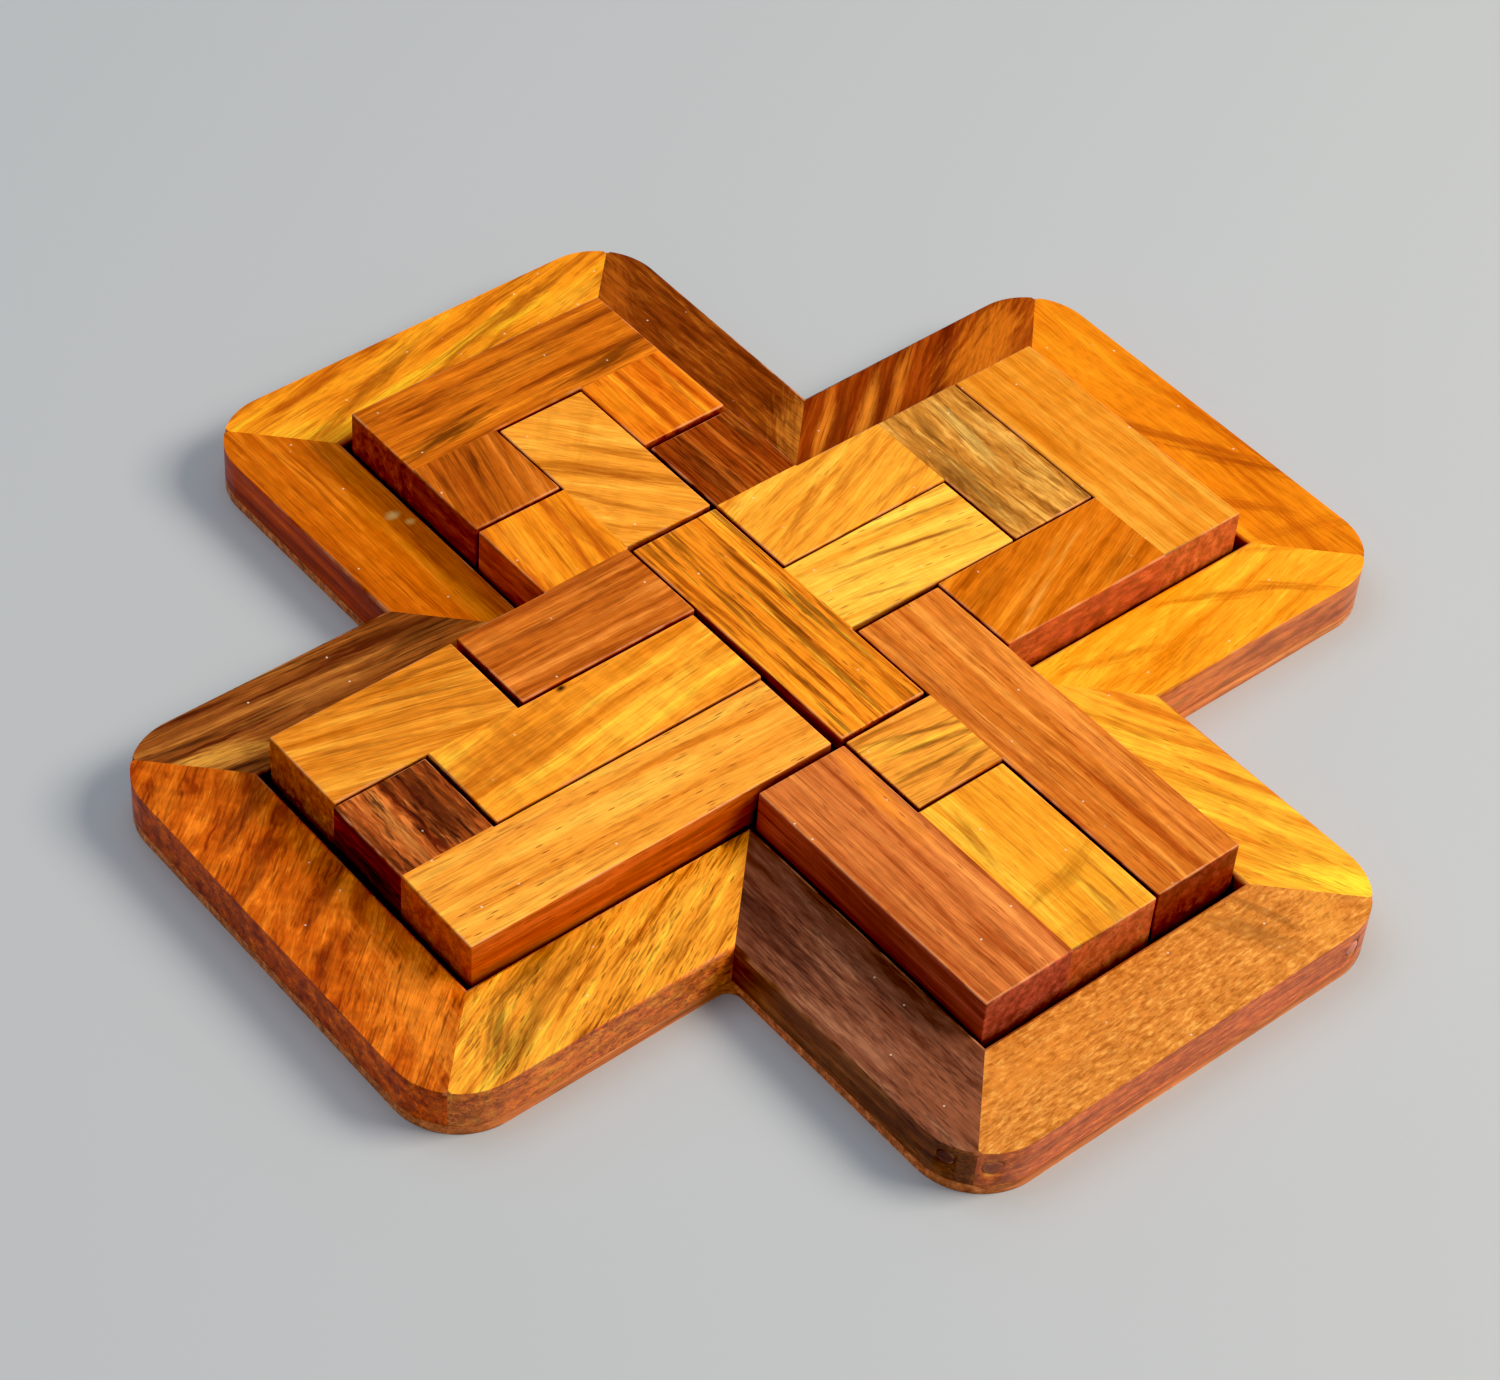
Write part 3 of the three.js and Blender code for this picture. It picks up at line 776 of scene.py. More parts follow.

# Here too the side tint and the pink side colour of each stick also paint shade and sheen on its edge faces.
RAIL_WOOD: dict[str, tuple[Grain, Timber]] = {
    "back_arm_end_rail": (
        ACROSS,
        Timber(
            "#ba5c0a", "#f2931a", "#ffbf28", "#8a4406", 12, band_mm=4.0, wander_mm=3.0, side_tint_and_light="#eeb07c",
            streaks=(
                Streak(-17, 0, 42, 3.6, 20, "#a4540a", 0.8), Streak(18, 2, 52, 3.6, 14, "#a0500a", 0.8),
                Streak(6, -5.5, 28, 2.2, 20, "#b0600f", 0.6), Streak(32, -1, 22, 6, 12, "#ffba30", 0.6),
                Streak(-38, -2, 18, 6, 30, "#ffb430", 0.5), Streak(-6, 5, 26, 4, 12, "#ffb22a", 0.4),
            ),
        ),
    ),
    "back_arm_left_rail": (
        ALONG,
        Timber(
            "#a44604", "#c66208", "#e48018", "#7a3002", band_mm=2.4, line_mm=0.7, line_share=0.25,
            side_tint_and_light="#ecab30",
            streaks=(
                Streak(6.1, 0.9, 3.4, 2.8, 0, "#e8b468", 1.0, 0.25),
                Streak(7.8, -2.6, 2.4, 2.2, 0, "#e4ac60", 0.9, 0.25),
                Streak(5, 18, 30, 1.6, 88, "#8a3a06", 0.6), Streak(4, -26, 30, 5, 90, "#cc7c1c", 0.5),
            ),
        ),
    ),
    "back_arm_right_rail": (
        ALONG,
        Timber(
            "#5e2301", "#7e3606", "#a25512", "#3a1202", band_mm=1.5, band_length_mm=14, line_length_mm=6,
            line_share=0.35, curl_mm=0.5, side_tint_and_light="#eeb07c",
            streaks=(
                Streak(2, -28, 26, 12, 50, "#c87a26", 0.7), Streak(0, 30, 22, 8, 60, "#b05812", 0.6),
                Streak(-6, 4, 30, 5, 90, "#5c2204", 0.5),
            ),
        ),
    ),
    "left_arm_end_rail": (
        ALONG,
        Timber(
            "#8e3202", "#c45a0a", "#ea7e1c", "#541600", -52, band_mm=3.0, band_length_mm=16,
            line_length_mm=9, line_share=0.3, line_strength=0.6, wander_mm=3.0, curl_mm=1.6, ripple=0.12,
            side_tint_and_light="#ffda2c",
            streaks=(
                Streak(3, 24, 26, 4.5, 26, "#6e2604", 0.75), Streak(-3, 12, 24, 4, 34, "#742a04", 0.7),
                Streak(3, 0, 20, 3.4, 30, "#7a2e06", 0.65), Streak(-5, -12, 20, 3, 40, "#843408", 0.5),
                Streak(1, -30, 36, 14, 80, "#ee8c26", 0.6), Streak(-6, 36, 12, 6, 60, "#e07818", 0.5),
            ),
        ),
    ),
    "left_arm_back_rail": (
        ACROSS,
        Timber(
            "#561e05", "#8e4b18", "#bd752e", "#301002", -4, band_mm=2.0, line_share=0.35, line_strength=0.7,
            side_tint_and_light="#eeb07c",
            streaks=(
                Streak(-28, -2, 26, 5, -14, "#e8a440", 0.8), Streak(-24, -7, 20, 1.6, -16, "#3c1604", 0.85),
                Streak(-30, 3.5, 24, 1.6, -10, "#3c1604", 0.8), Streak(22, 2, 36, 9, -4, "#4e2208", 0.7),
                Streak(-4, 0, 26, 6, -3, "#b06c2c", 0.5), Streak(8, -7, 34, 2, -3, "#5a2a0c", 0.6),
            ),
        ),
    ),
    "left_arm_front_rail": (
        ACROSS,
        Timber(
            "#bc6610", "#f49d2c", "#ffc53b", "#5a2a04", 26, band_mm=2.0, band_length_mm=20, line_mm=0.45,
            line_length_mm=4, line_share=0.35, line_strength=0.65, pores=0.7, curl_mm=0.5,
            side_tint_and_light="#e8beab", side_sheen=0.12,
            streaks=(
                Streak(-12, 6.5, 24, 5, 18, "#54300a", 0.7), Streak(-25, -1, 16, 6, 45, "#5a3408", 0.65),
                Streak(-14, 0, 34, 5, 28, "#84480a", 0.5), Streak(-22, -5, 20, 4, 32, "#744004", 0.55),
                Streak(-4, 5, 26, 3, 24, "#8a4e0c", 0.4), Streak(12, -4, 26, 3.0, 24, "#a06014", 0.4),
                Streak(18, 3, 26, 5, 22, "#ffbe3c", 0.4),
            ),
        ),
    ),
    "right_arm_end_rail": (
        ALONG,
        Timber(
            "#c35f06", "#e17e0f", "#f2971a", "#a04406", band_mm=5.0, line_share=0.08, line_strength=0.3,
            pores=0.2, wander_mm=3.0, side_tint_and_light="#eeb07c",
            streaks=(
                Streak(0, -2, 36, 3.4, -60, "#ac4e08", 0.8), Streak(5, -14, 28, 3.0, -56, "#a44806", 0.8),
                Streak(-4, -22, 26, 3.4, -50, "#b45408", 0.7), Streak(6, 6, 24, 2.2, -70, "#c06008", 0.6),
                Streak(-2, 26, 36, 12, 88, "#f8981a", 0.4), Streak(2, -34, 24, 4, -20, "#bc5c0a", 0.5),
            ),
        ),
    ),
    "right_arm_back_rail": (
        ACROSS,
        Timber(
            "#641a01", "#883204", "#a4480c", "#441002", 38, band_mm=2.4, line_share=0.2,
            side_tint_and_light="#eeb07c",
            streaks=(
                Streak(-23, 0, 32, 3.2, 40, "#dc7c20", 0.85, 0.5),
                Streak(-13, -1, 32, 3.6, 38, "#e08426", 0.85, 0.5),
                Streak(-3, 1, 32, 3.0, 37, "#dc7c20", 0.75, 0.5), Streak(20, 0, 40, 14, 24, "#d87618", 0.75),
                Streak(-18, 1, 28, 3.4, 39, "#5a1a02", 0.7, 0.5),
                Streak(-8, 0, 28, 3.4, 38, "#601e02", 0.7, 0.5), Streak(14, 4, 30, 1.8, 30, "#803008", 0.7),
                Streak(24, -4, 26, 1.4, 26, "#94440c", 0.6),
            ),
        ),
    ),
    "right_arm_front_rail": (
        ACROSS,
        Timber(
            "#e0800f", "#fca020", "#ffbe30", "#b45c0a", 10, band_mm=4.0, line_share=0.1, line_strength=0.35,
            wander_mm=4.0, side_tint_and_light="#d2babd", side_sheen=0.2,
            streaks=(
                Streak(-18, 2, 34, 2.8, -18, "#c8720f", 0.65), Streak(10, 2, 34, 2.8, -24, "#bc660c", 0.7),
                Streak(22, -4, 24, 2.8, -40, "#b4600a", 0.65), Streak(-4, -4, 26, 2.0, 28, "#d07c14", 0.55),
                Streak(26, 6, 20, 2.0, -30, "#c8700f", 0.5),
            ),
        ),
    ),
    "front_arm_end_rail": (
        ACROSS,
        Timber(
            "#b26722", "#d48335", "#eea64e", "#8a4c18", 3, band_mm=0.8, band_length_mm=2.2,
            line_length_mm=2.2, line_mm=0.5, line_share=0.3, line_strength=0.45, pores=0.15, fibre=0.08,
            curl_mm=0.6, ripple=0.04, side_tint_and_light="#ffcab4", side_sheen=0.16,
            streaks=(
                Streak(24, 1, 20, 6, 118, "#a06228", 0.6), Streak(29, 3, 16, 2.4, 112, "#8e5420", 0.5),
                Streak(37, -3, 20, 7, 60, "#f0a040", 0.6), Streak(-26, 2, 40, 8, 0, "#e88e34", 0.4),
            ),
        ),
    ),
    "front_arm_left_rail": (
        ALONG,
        Timber(
            "#5a2a18", "#7a4630", "#9a6448", "#2a0e08", band_mm=2.2, band_length_mm=16, line_length_mm=4,
            line_mm=0.45, line_share=0.4, line_strength=0.55, curl_mm=0.4, side_tint_and_light="#ffe68c",
            streaks=(
                Streak(-2, 20, 50, 9, 88, "#3a1a10", 0.75), Streak(-3, -28, 30, 12, 90, "#96583a", 0.7),
                Streak(5, -4, 40, 4, 90, "#7c4a34", 0.4), Streak(4, 4, 44, 3, 91, "#40201a", 0.5),
            ),
        ),
    ),
    "front_arm_right_rail": (
        ALONG,
        Timber(
            "#dc7e1c", "#faae30", "#ffd23c", "#a85c10", 24, band_mm=3.2, line_share=0.15, wander_mm=3.0,
            pores=0.6, side_tint_and_light="#eeb07c",
            streaks=(
                Streak(-2, 20, 36, 2.8, -62, "#d07814", 0.75), Streak(0, -2, 40, 2.8, -66, "#cc7414", 0.7),
                Streak(3, -22, 32, 2.8, -68, "#cc7614", 0.65), Streak(6, 8, 24, 2.0, -60, "#d88020", 0.6),
                Streak(5, -34, 26, 7, -50, "#ffdc38", 0.8), Streak(-6, -16, 20, 2.0, -58, "#d08018", 0.5),
            ),
        ),
    ),
}

PLUG_WOOD: dict[str, Timber] = {
    "front_arm_end_left_plug": Timber(
        "#9a5a40", "#ae6e54", "#c08468", "#8a4a38", band_mm=1.0, side_tint_and_light="#f2d2c4",
    ),
    # Its paler pink wood is partly its own colour, partly a painted glare on the plug's face.
    "front_arm_end_right_plug": Timber(
        "#cc8a74", "#dc9c88", "#e8b0a0", "#a86450", band_mm=1.0, side_tint_and_light="#f2d2c4",
    ),
    "front_arm_left_plug": Timber(
        "#4a2418", "#5c3020", "#6e4030", "#2a1008", band_mm=1.0, side_tint_and_light="#f2d2c4",
    ),
}

BOARD_WOOD = Timber("#a85c2c", "#d27c45", "#e89a5c", "#7a3c1c", band_mm=1.5, side_tint_and_light="#fff4e8")


# ---------------------------------------------------------------------------------------------- mesh work


# A face whose normal is this close to an axis is flat, and the eased edges lie this near a piece's rims.
FLAT = 0.999
RIM_REACH = 1.0 * MM
# A bent face whose normal tilts up less than this is part of a rounded corner, not of an eased edge.
CORNER_TILT = 0.02


def finish_mesh(name: str, bm: bmesh.types.BMesh, material: bpy.types.Material) -> bpy.types.Object:
    """Turns a bmesh into an object, and marks the eased edges.

    Args:
        name: The object's name.
        bm: The mesh, which is freed.
        material: Its material.

    Returns:
        The object, in the scene.
    """
    bmesh.ops.recalc_face_normals(bm, faces=bm.faces)
    worn_lit = bm.loops.layers.float.new(WORN_LIT_EDGE)
    heights = [v.co.z for v in bm.verts]
    low, high = min(heights), max(heights)
    for face in bm.faces:
        square = max(abs(part) for part in face.normal) > FLAT
        z = face.calc_center_median().z
        tilted = CORNER_TILT < abs(face.normal.z) < FLAT
        eased = not square and tilted and min(z - low, high - z) < RIM_REACH
        face.smooth = not square
        for loop in face.loops:
            loop[worn_lit] = 1.0 if eased else 0.0
    mesh = bpy.data.meshes.new(name)
    bm.to_mesh(mesh)
    bm.free()
    mesh.materials.append(material)
    piece = bpy.data.objects.new(name, mesh)
    bpy.context.scene.collection.objects.link(piece)
    return piece


def prism(outline: list[Vector], low: float, high: float) -> bmesh.types.BMesh:
    """Makes an upright prism.

    Args:
        outline: Its plan, anticlockwise.
        low: Height of its underside.
        high: Height of its top.

    Returns:
        The mesh.
    """
    bm = bmesh.new()
    bottom = [bm.verts.new((p.x, p.y, low)) for p in outline]
    top = [bm.verts.new((p.x, p.y, high)) for p in outline]
    bm.faces.new(list(reversed(bottom)))
    bm.faces.new(top)
    count = len(outline)
    for i in range(count):
        j = (i + 1) % count
        bm.faces.new((bottom[i], bottom[j], top[j], top[i]))
    return bm


def ease(bm: bmesh.types.BMesh, edges: Iterable[bmesh.types.BMEdge], width: float, steps: int) -> None:
    """Rounds some edges.

    Args:
        bm: The mesh.
        edges: The edges.
        width: How far the rounding reaches.
        steps: How many faces it has.
    """
    bmesh.ops.bevel(
        bm,
        geom=list(edges),
        offset=width,
        offset_type="OFFSET",
        segments=steps,
        profile=0.5,
        affect="EDGES",
        clamp_overlap=True,
        miter_inner="SHARP",
    )


def without(bm: bmesh.types.BMesh, tool: bmesh.types.BMesh) -> bmesh.types.BMesh:
    """Cuts one mesh out of another.

    Args:
        bm: The mesh to cut, which is freed.
        tool: The mesh to cut away, which is freed.

    Returns:
        What is left.
    """
    helpers = []
    for source in (bm, tool):
        mesh = bpy.data.meshes.new("cutting_helper")
        source.to_mesh(mesh)
        source.free()
        helper = bpy.data.objects.new("cutting_helper", mesh)
        bpy.context.scene.collection.objects.link(helper)
        helpers.append(helper)
    cut = helpers[0].modifiers.new("cut", "BOOLEAN")
    cut.object = helpers[1]
    cut.operation = "DIFFERENCE"
    cut.solver = "EXACT"
    bpy.context.view_layer.update()
    shaped = helpers[0].evaluated_get(bpy.context.evaluated_depsgraph_get())
    left = bmesh.new()
    left.from_mesh(shaped.to_mesh())
    shaped.to_mesh_clear()
    for helper in helpers:
        bpy.data.meshes.remove(helper.data)
    return left


def arc(middle: Vector, radius: float, start: float, end: float, steps: int) -> list[Vector]:
    """Points round a circle, angles in degrees, both ends included."""
    angles = [math.radians(start + (end - start) * i / steps) for i in range(steps + 1)]
    return [middle + radius * Vector((math.cos(a), math.sin(a))) for a in angles]


# ---------------------------------------------------------------------------------------------- the tray


@dataclass(frozen=True)
class TraySizes:
    """The tray's sizes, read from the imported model.

    Attributes:
        reach: Middle of the tray to the tip of an arm.
        pocket_reach: Middle of the tray to the end of the pocket.
        half_width: Half an arm's width.
        pocket_half_width: Half the pocket's width.
        corner_radius: Rounding of an arm's corners.
        board_top: Height of the base board's top.
        rail_top: Height of the rails' top.
    """

    reach: float
    pocket_reach: float
    half_width: float
    pocket_half_width: float
    corner_radius: float
    board_top: float
    rail_top: float

    @classmethod
    def from_frame(cls) -> "TraySizes":
        """Reads the sizes off the right arm's rails.

        Returns:
            The sizes.
        """
        end_low, end_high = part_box("right_arm_end_rail")
        side_low, side_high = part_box("right_arm_back_rail")
        # The mitre cuts the rounded corner in its middle.
        radius = (end_high.x - side_high.x) / (1 - math.sqrt(0.5))
        return cls(
            reach=end_high.x,
            pocket_reach=end_low.x,
            half_width=side_high.y,
            pocket_half_width=side_low.y,
            corner_radius=radius,
            board_top=end_low.z,
            rail_top=end_high.z,
        )

    @property
    def corner(self) -> Vector:
        """Middle of the rounded corner of the right arm, at its back."""
        return Vector((self.reach - self.corner_radius, self.half_width - self.corner_radius))


@dataclass
class Tray:
    """The base board, the twelve mitred rails and the three plugs.

    Attributes:
        sizes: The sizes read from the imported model.
        arc_steps: How many faces an eighth of a round corner has.
        rail_ease: Rounding of the rails' top edges.
        rail_ease_steps: How many faces it has.
        seam_ease: Rounding of the rails' lower edges, which shows the seam to the board.
        board_ease: Rounding of the board's edges.
        small_ease_steps: How many faces these two have.
        notch_radius: Rounding of the board's inward corners.
        plug_radius: A plug's radius.
        bore_radius: The radius of the hole round it.
        bore_depth: How deep the hole is.
        plug_spare: How much shorter the plug is.
        plug_proud: How far a plug stands out of the rail.
        plug_rim: How far its edge is rounded back.
        plug_sides: How many sides a plug has.
        cutter_spare: How far the tool that cuts a hole stands out of the rail.
        body: The body that the tray's pieces ride on.
        plugs: The plugs' nodes.
        bored: The rails that have holes for the plugs.
    """

    sizes: TraySizes = field(default_factory=TraySizes.from_frame)
    arc_steps: int = 14
    rail_ease: float = 0.7 * MM
    rail_ease_steps: int = 4
    seam_ease: float = 0.18 * MM
    board_ease: float = 0.35 * MM
    small_ease_steps: int = 2
    notch_radius: float = 3.0 * MM
    plug_radius: float = 1.55 * MM
    bore_radius: float = 1.63 * MM
    bore_depth: float = 3.2 * MM
    plug_spare: float = 0.1 * MM
    plug_proud: float = 0.06 * MM
    plug_rim: float = 0.15 * MM
    plug_sides: int = 32
    cutter_spare: float = 1.0 * MM
    body: str = "tray"
    plugs: tuple[str, ...] = ("front_arm_end_left_plug", "front_arm_end_right_plug", "front_arm_left_plug")
    bored: tuple[str, ...] = ("front_arm_end_rail", "front_arm_left_rail")

    def build(self) -> list[bpy.types.Object]:
        """Builds every part of the tray.

        Returns:
            The parts.
        """
        pieces = [self._board()]
        for turn, arm in enumerate(("right", "back", "left", "front")):
            pieces += self._arm_rails(arm, turn)
        pieces += [self._plug(node) for node in self.plugs]
        return pieces

    def _turned(self, points: Iterable[Vector], turn: int) -> list[Vector]:
        """Turns points about the middle by quarter turns to the left."""
        rotation = Matrix.Rotation(turn * math.pi / 2, 2)
        return [rotation @ p for p in points]

    def _board(self) -> bpy.types.Object:
        """Builds the base board.

        Returns:
            The board.
        """
        s = self.sizes
        corner = s.corner
        notch = s.half_width + self.notch_radius
        arm = arc(Vector((notch, -notch)), self.notch_radius, 180, 90, self.arc_steps)
        arm += arc(Vector((corner.x, -corner.y)), s.corner_radius, -90, 0, 2 * self.arc_steps)
        arm += arc(corner, s.corner_radius, 0, 90, 2 * self.arc_steps)
        outline = [p for turn in range(4) for p in self._turned(arm, turn)]
        bm = prism(outline, 0.0, s.board_top)
        # The level edges are its two rims.
        rims = [e for e in bm.edges if abs(e.verts[0].co.z - e.verts[1].co.z) < s.board_top / 2]
        ease(bm, rims, self.board_ease, self.small_ease_steps)
        low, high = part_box("base_board")
        material = BOARD_WOOD.material("base_board", (low + high) / 2, Grain.ACROSS, BOARD)
        board = finish_mesh("plywood_base_board", bm, material)
        return self._settle(board, "base_board")

    def _arm_rails(self, arm: str, turn: int) -> list[bpy.types.Object]:
        """Builds the three rails of one arm.

        Args:
            arm: The arm's name.
            turn: Its quarter turns to the left from the right arm.

        Returns:
            The rails.
        """
        left_hand = {"right": "back", "back": "left", "left": "front", "front": "right"}[arm]
        right_hand = {"right": "front", "back": "right", "left": "back", "front": "left"}[arm]
        s = self.sizes
        corner = s.corner
        lower = Vector((corner.x, -corner.y))
        steps = self.arc_steps
        end = arc(lower, s.corner_radius, -45, 0, steps) + arc(corner, s.corner_radius, 0, 45, steps)
        end_outer = len(end) - 1
        end += [
            Vector((s.pocket_reach, s.pocket_half_width)),
            Vector((s.pocket_reach, -s.pocket_half_width)),
        ]
        side = arc(corner, s.corner_radius, 45, 90, steps) + [Vector((s.half_width, s.half_width))]
        side_outer = len(side) - 1
        side += [
            Vector((s.pocket_half_width, s.pocket_half_width)),
            Vector((s.pocket_reach, s.pocket_half_width)),
        ]
        # The other side rail is the first one's mirror image, so its plan is taken backwards.
        other = [Vector((p.x, -p.y)) for p in side]
        other_path = list(reversed(other[: side_outer + 1]))
        other = other_path + [other[-1], other[-2]]
        return [
            self._rail(f"{arm}_arm_end_rail", self._turned(end, turn), end_outer),
            self._rail(f"{arm}_arm_{left_hand}_rail", self._turned(side, turn), side_outer),
            self._rail(f"{arm}_arm_{right_hand}_rail", self._turned(other, turn), side_outer),
        ]

    def _rail(self, node: str, outline: list[Vector], outer: int) -> bpy.types.Object:
        """Builds one rail, with its outer and inner edges eased and its mitres left sharp.

        Args:
            node: The rail's node.
            outline: Its plan: first the outer side, then the two ends of the inner side.
            outer: Number of the outer side's last point.

        Returns:
            The rail.
        """
        s = self.sizes
        bm = prism(outline, s.board_top, s.rail_top)
        bm.verts.ensure_lookup_table()
        count = len(outline)
        bottom = bm.verts[:count]
        top = bm.verts[count : 2 * count]
        sides = [(i, i + 1) for i in range(outer)] + [(outer + 1, outer + 2)]
        upper = [bm.edges.get((top[i], top[j])) for i, j in sides]
        under = [bm.edges.get((bottom[i], bottom[j])) for i, j in sides[:-1]]
        ease(bm, upper, self.rail_ease, self.rail_ease_steps)
        ease(bm, [e for e in under if e and e.is_valid], self.seam_ease, self.small_ease_steps)
        if node in self.bored:
            for plug in self.plugs:
                cutter = self._plug_body(plug, self.bore_radius, self.bore_depth, self.cutter_spare, 0.0)
                bm = without(bm, cutter)
        low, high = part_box(node)
        grain, wood = RAIL_WOOD[node]
        number = FIRST_RAIL + list(RAIL_WOOD).index(node)
        material = wood.material(node, (low + high) / 2, grain, number)
        rail = finish_mesh("hardwood_" + node, bm, material)
        return self._settle(rail, node)

    def _plug_body(
        self, node: str, radius: float, depth: float, proud: float, rim: float
    ) -> bmesh.types.BMesh:
        """Makes a round bar that ends in the tray's rounded corner.

        Args:
            node: The plug's node, which gives its place.
            radius: The bar's radius.
            depth: How far it goes into the rail.
            proud: How far it stands out of the rail.
            rim: How far its edge is rounded back.

        Returns:
            The mesh.
        """
        s = self.sizes
        low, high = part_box(node)
        middle = (low + high) / 2
        axis = 0 if node == "front_arm_left_plug" else 1
        side = 1 - axis
        # Across the bar and into it, the corner's middle.
        corner = {0: s.half_width, 1: s.reach}
        across = math.copysign(corner[side] - s.corner_radius, middle[side])
        inward = -(corner[axis] - s.corner_radius)

        def point(reach: float, angle: float, back: float) -> Vector:
            """A point of the bar's outer face.

            Args:
                reach: How far it is from the bar's axis.
                angle: The way it lies from there, in radians.
                back: How far it is pushed back into the rail.

            Returns:
                The point.
            """
            place = Vector(middle)
            place[side] += reach * math.cos(angle)
            place.z += reach * math.sin(angle)
            past = max(0.0, (place[side] - across) * math.copysign(1.0, across))
            place[axis] = inward - math.sqrt(s.corner_radius**2 - past**2) - proud + back
            return place

        count = self.plug_sides
        angles = [2 * math.pi * i / count for i in range(count)]
        bm = bmesh.new()
        centre = bm.verts.new(point(0.0, 0.0, 0.0))
        # Each ring of the face: its share of the radius, and how far the rounding pushes it back.
        steps = ((0.5, 0.0), (0.85, 0.0), (0.96, 0.3 * rim), (1.0, rim))
        rings = [[bm.verts.new(point(share * radius, a, back)) for a in angles] for share, back in steps]
        end = []
        for vert in rings[-1]:
            place = Vector(vert.co)
            place[axis] = point(0.0, 0.0, 0.0)[axis] + proud + depth
            end.append(bm.verts.new(place))
        rings.append(end)
        for i in range(count):
            j = (i + 1) % count
            bm.faces.new((centre, rings[0][i], rings[0][j]))
            for inner, outer in zip(rings, rings[1:]):
                bm.faces.new((inner[i], outer[i], outer[j], inner[j]))
        bm.faces.new(end)
        bmesh.ops.recalc_face_normals(bm, faces=bm.faces)
        return bm

    def _plug(self, node: str) -> bpy.types.Object:
        """Builds one plug, glued in and sanded to the corner.

        Args:
            node: The plug's node.

        Returns:
            The plug.
        """
        depth = self.bore_depth - self.plug_spare
        bm = self._plug_body(node, self.plug_radius, depth, self.plug_proud, self.plug_rim)
        low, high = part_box(node)
        number = FIRST_PLUG + self.plugs.index(node)
        material = PLUG_WOOD[node].material(node, (low + high) / 2, Grain.ALONG, number)
        plug = finish_mesh("turned_" + node, bm, material)
        return self._settle(plug, node)

    def _settle(self, piece: bpy.types.Object, node: str) -> bpy.types.Object:
        """Puts a piece in place of its node on the tray's body.

        Args:
            piece: The piece.
            node: The node it stands for.

        Returns:
            The same piece.
        """
        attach(piece, self.body)
        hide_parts(node)
        LOG.info("%s: %d faces", piece.name, len(piece.data.polygons))
        return piece


# ---------------------------------------------------------------------------------------------- loose pieces


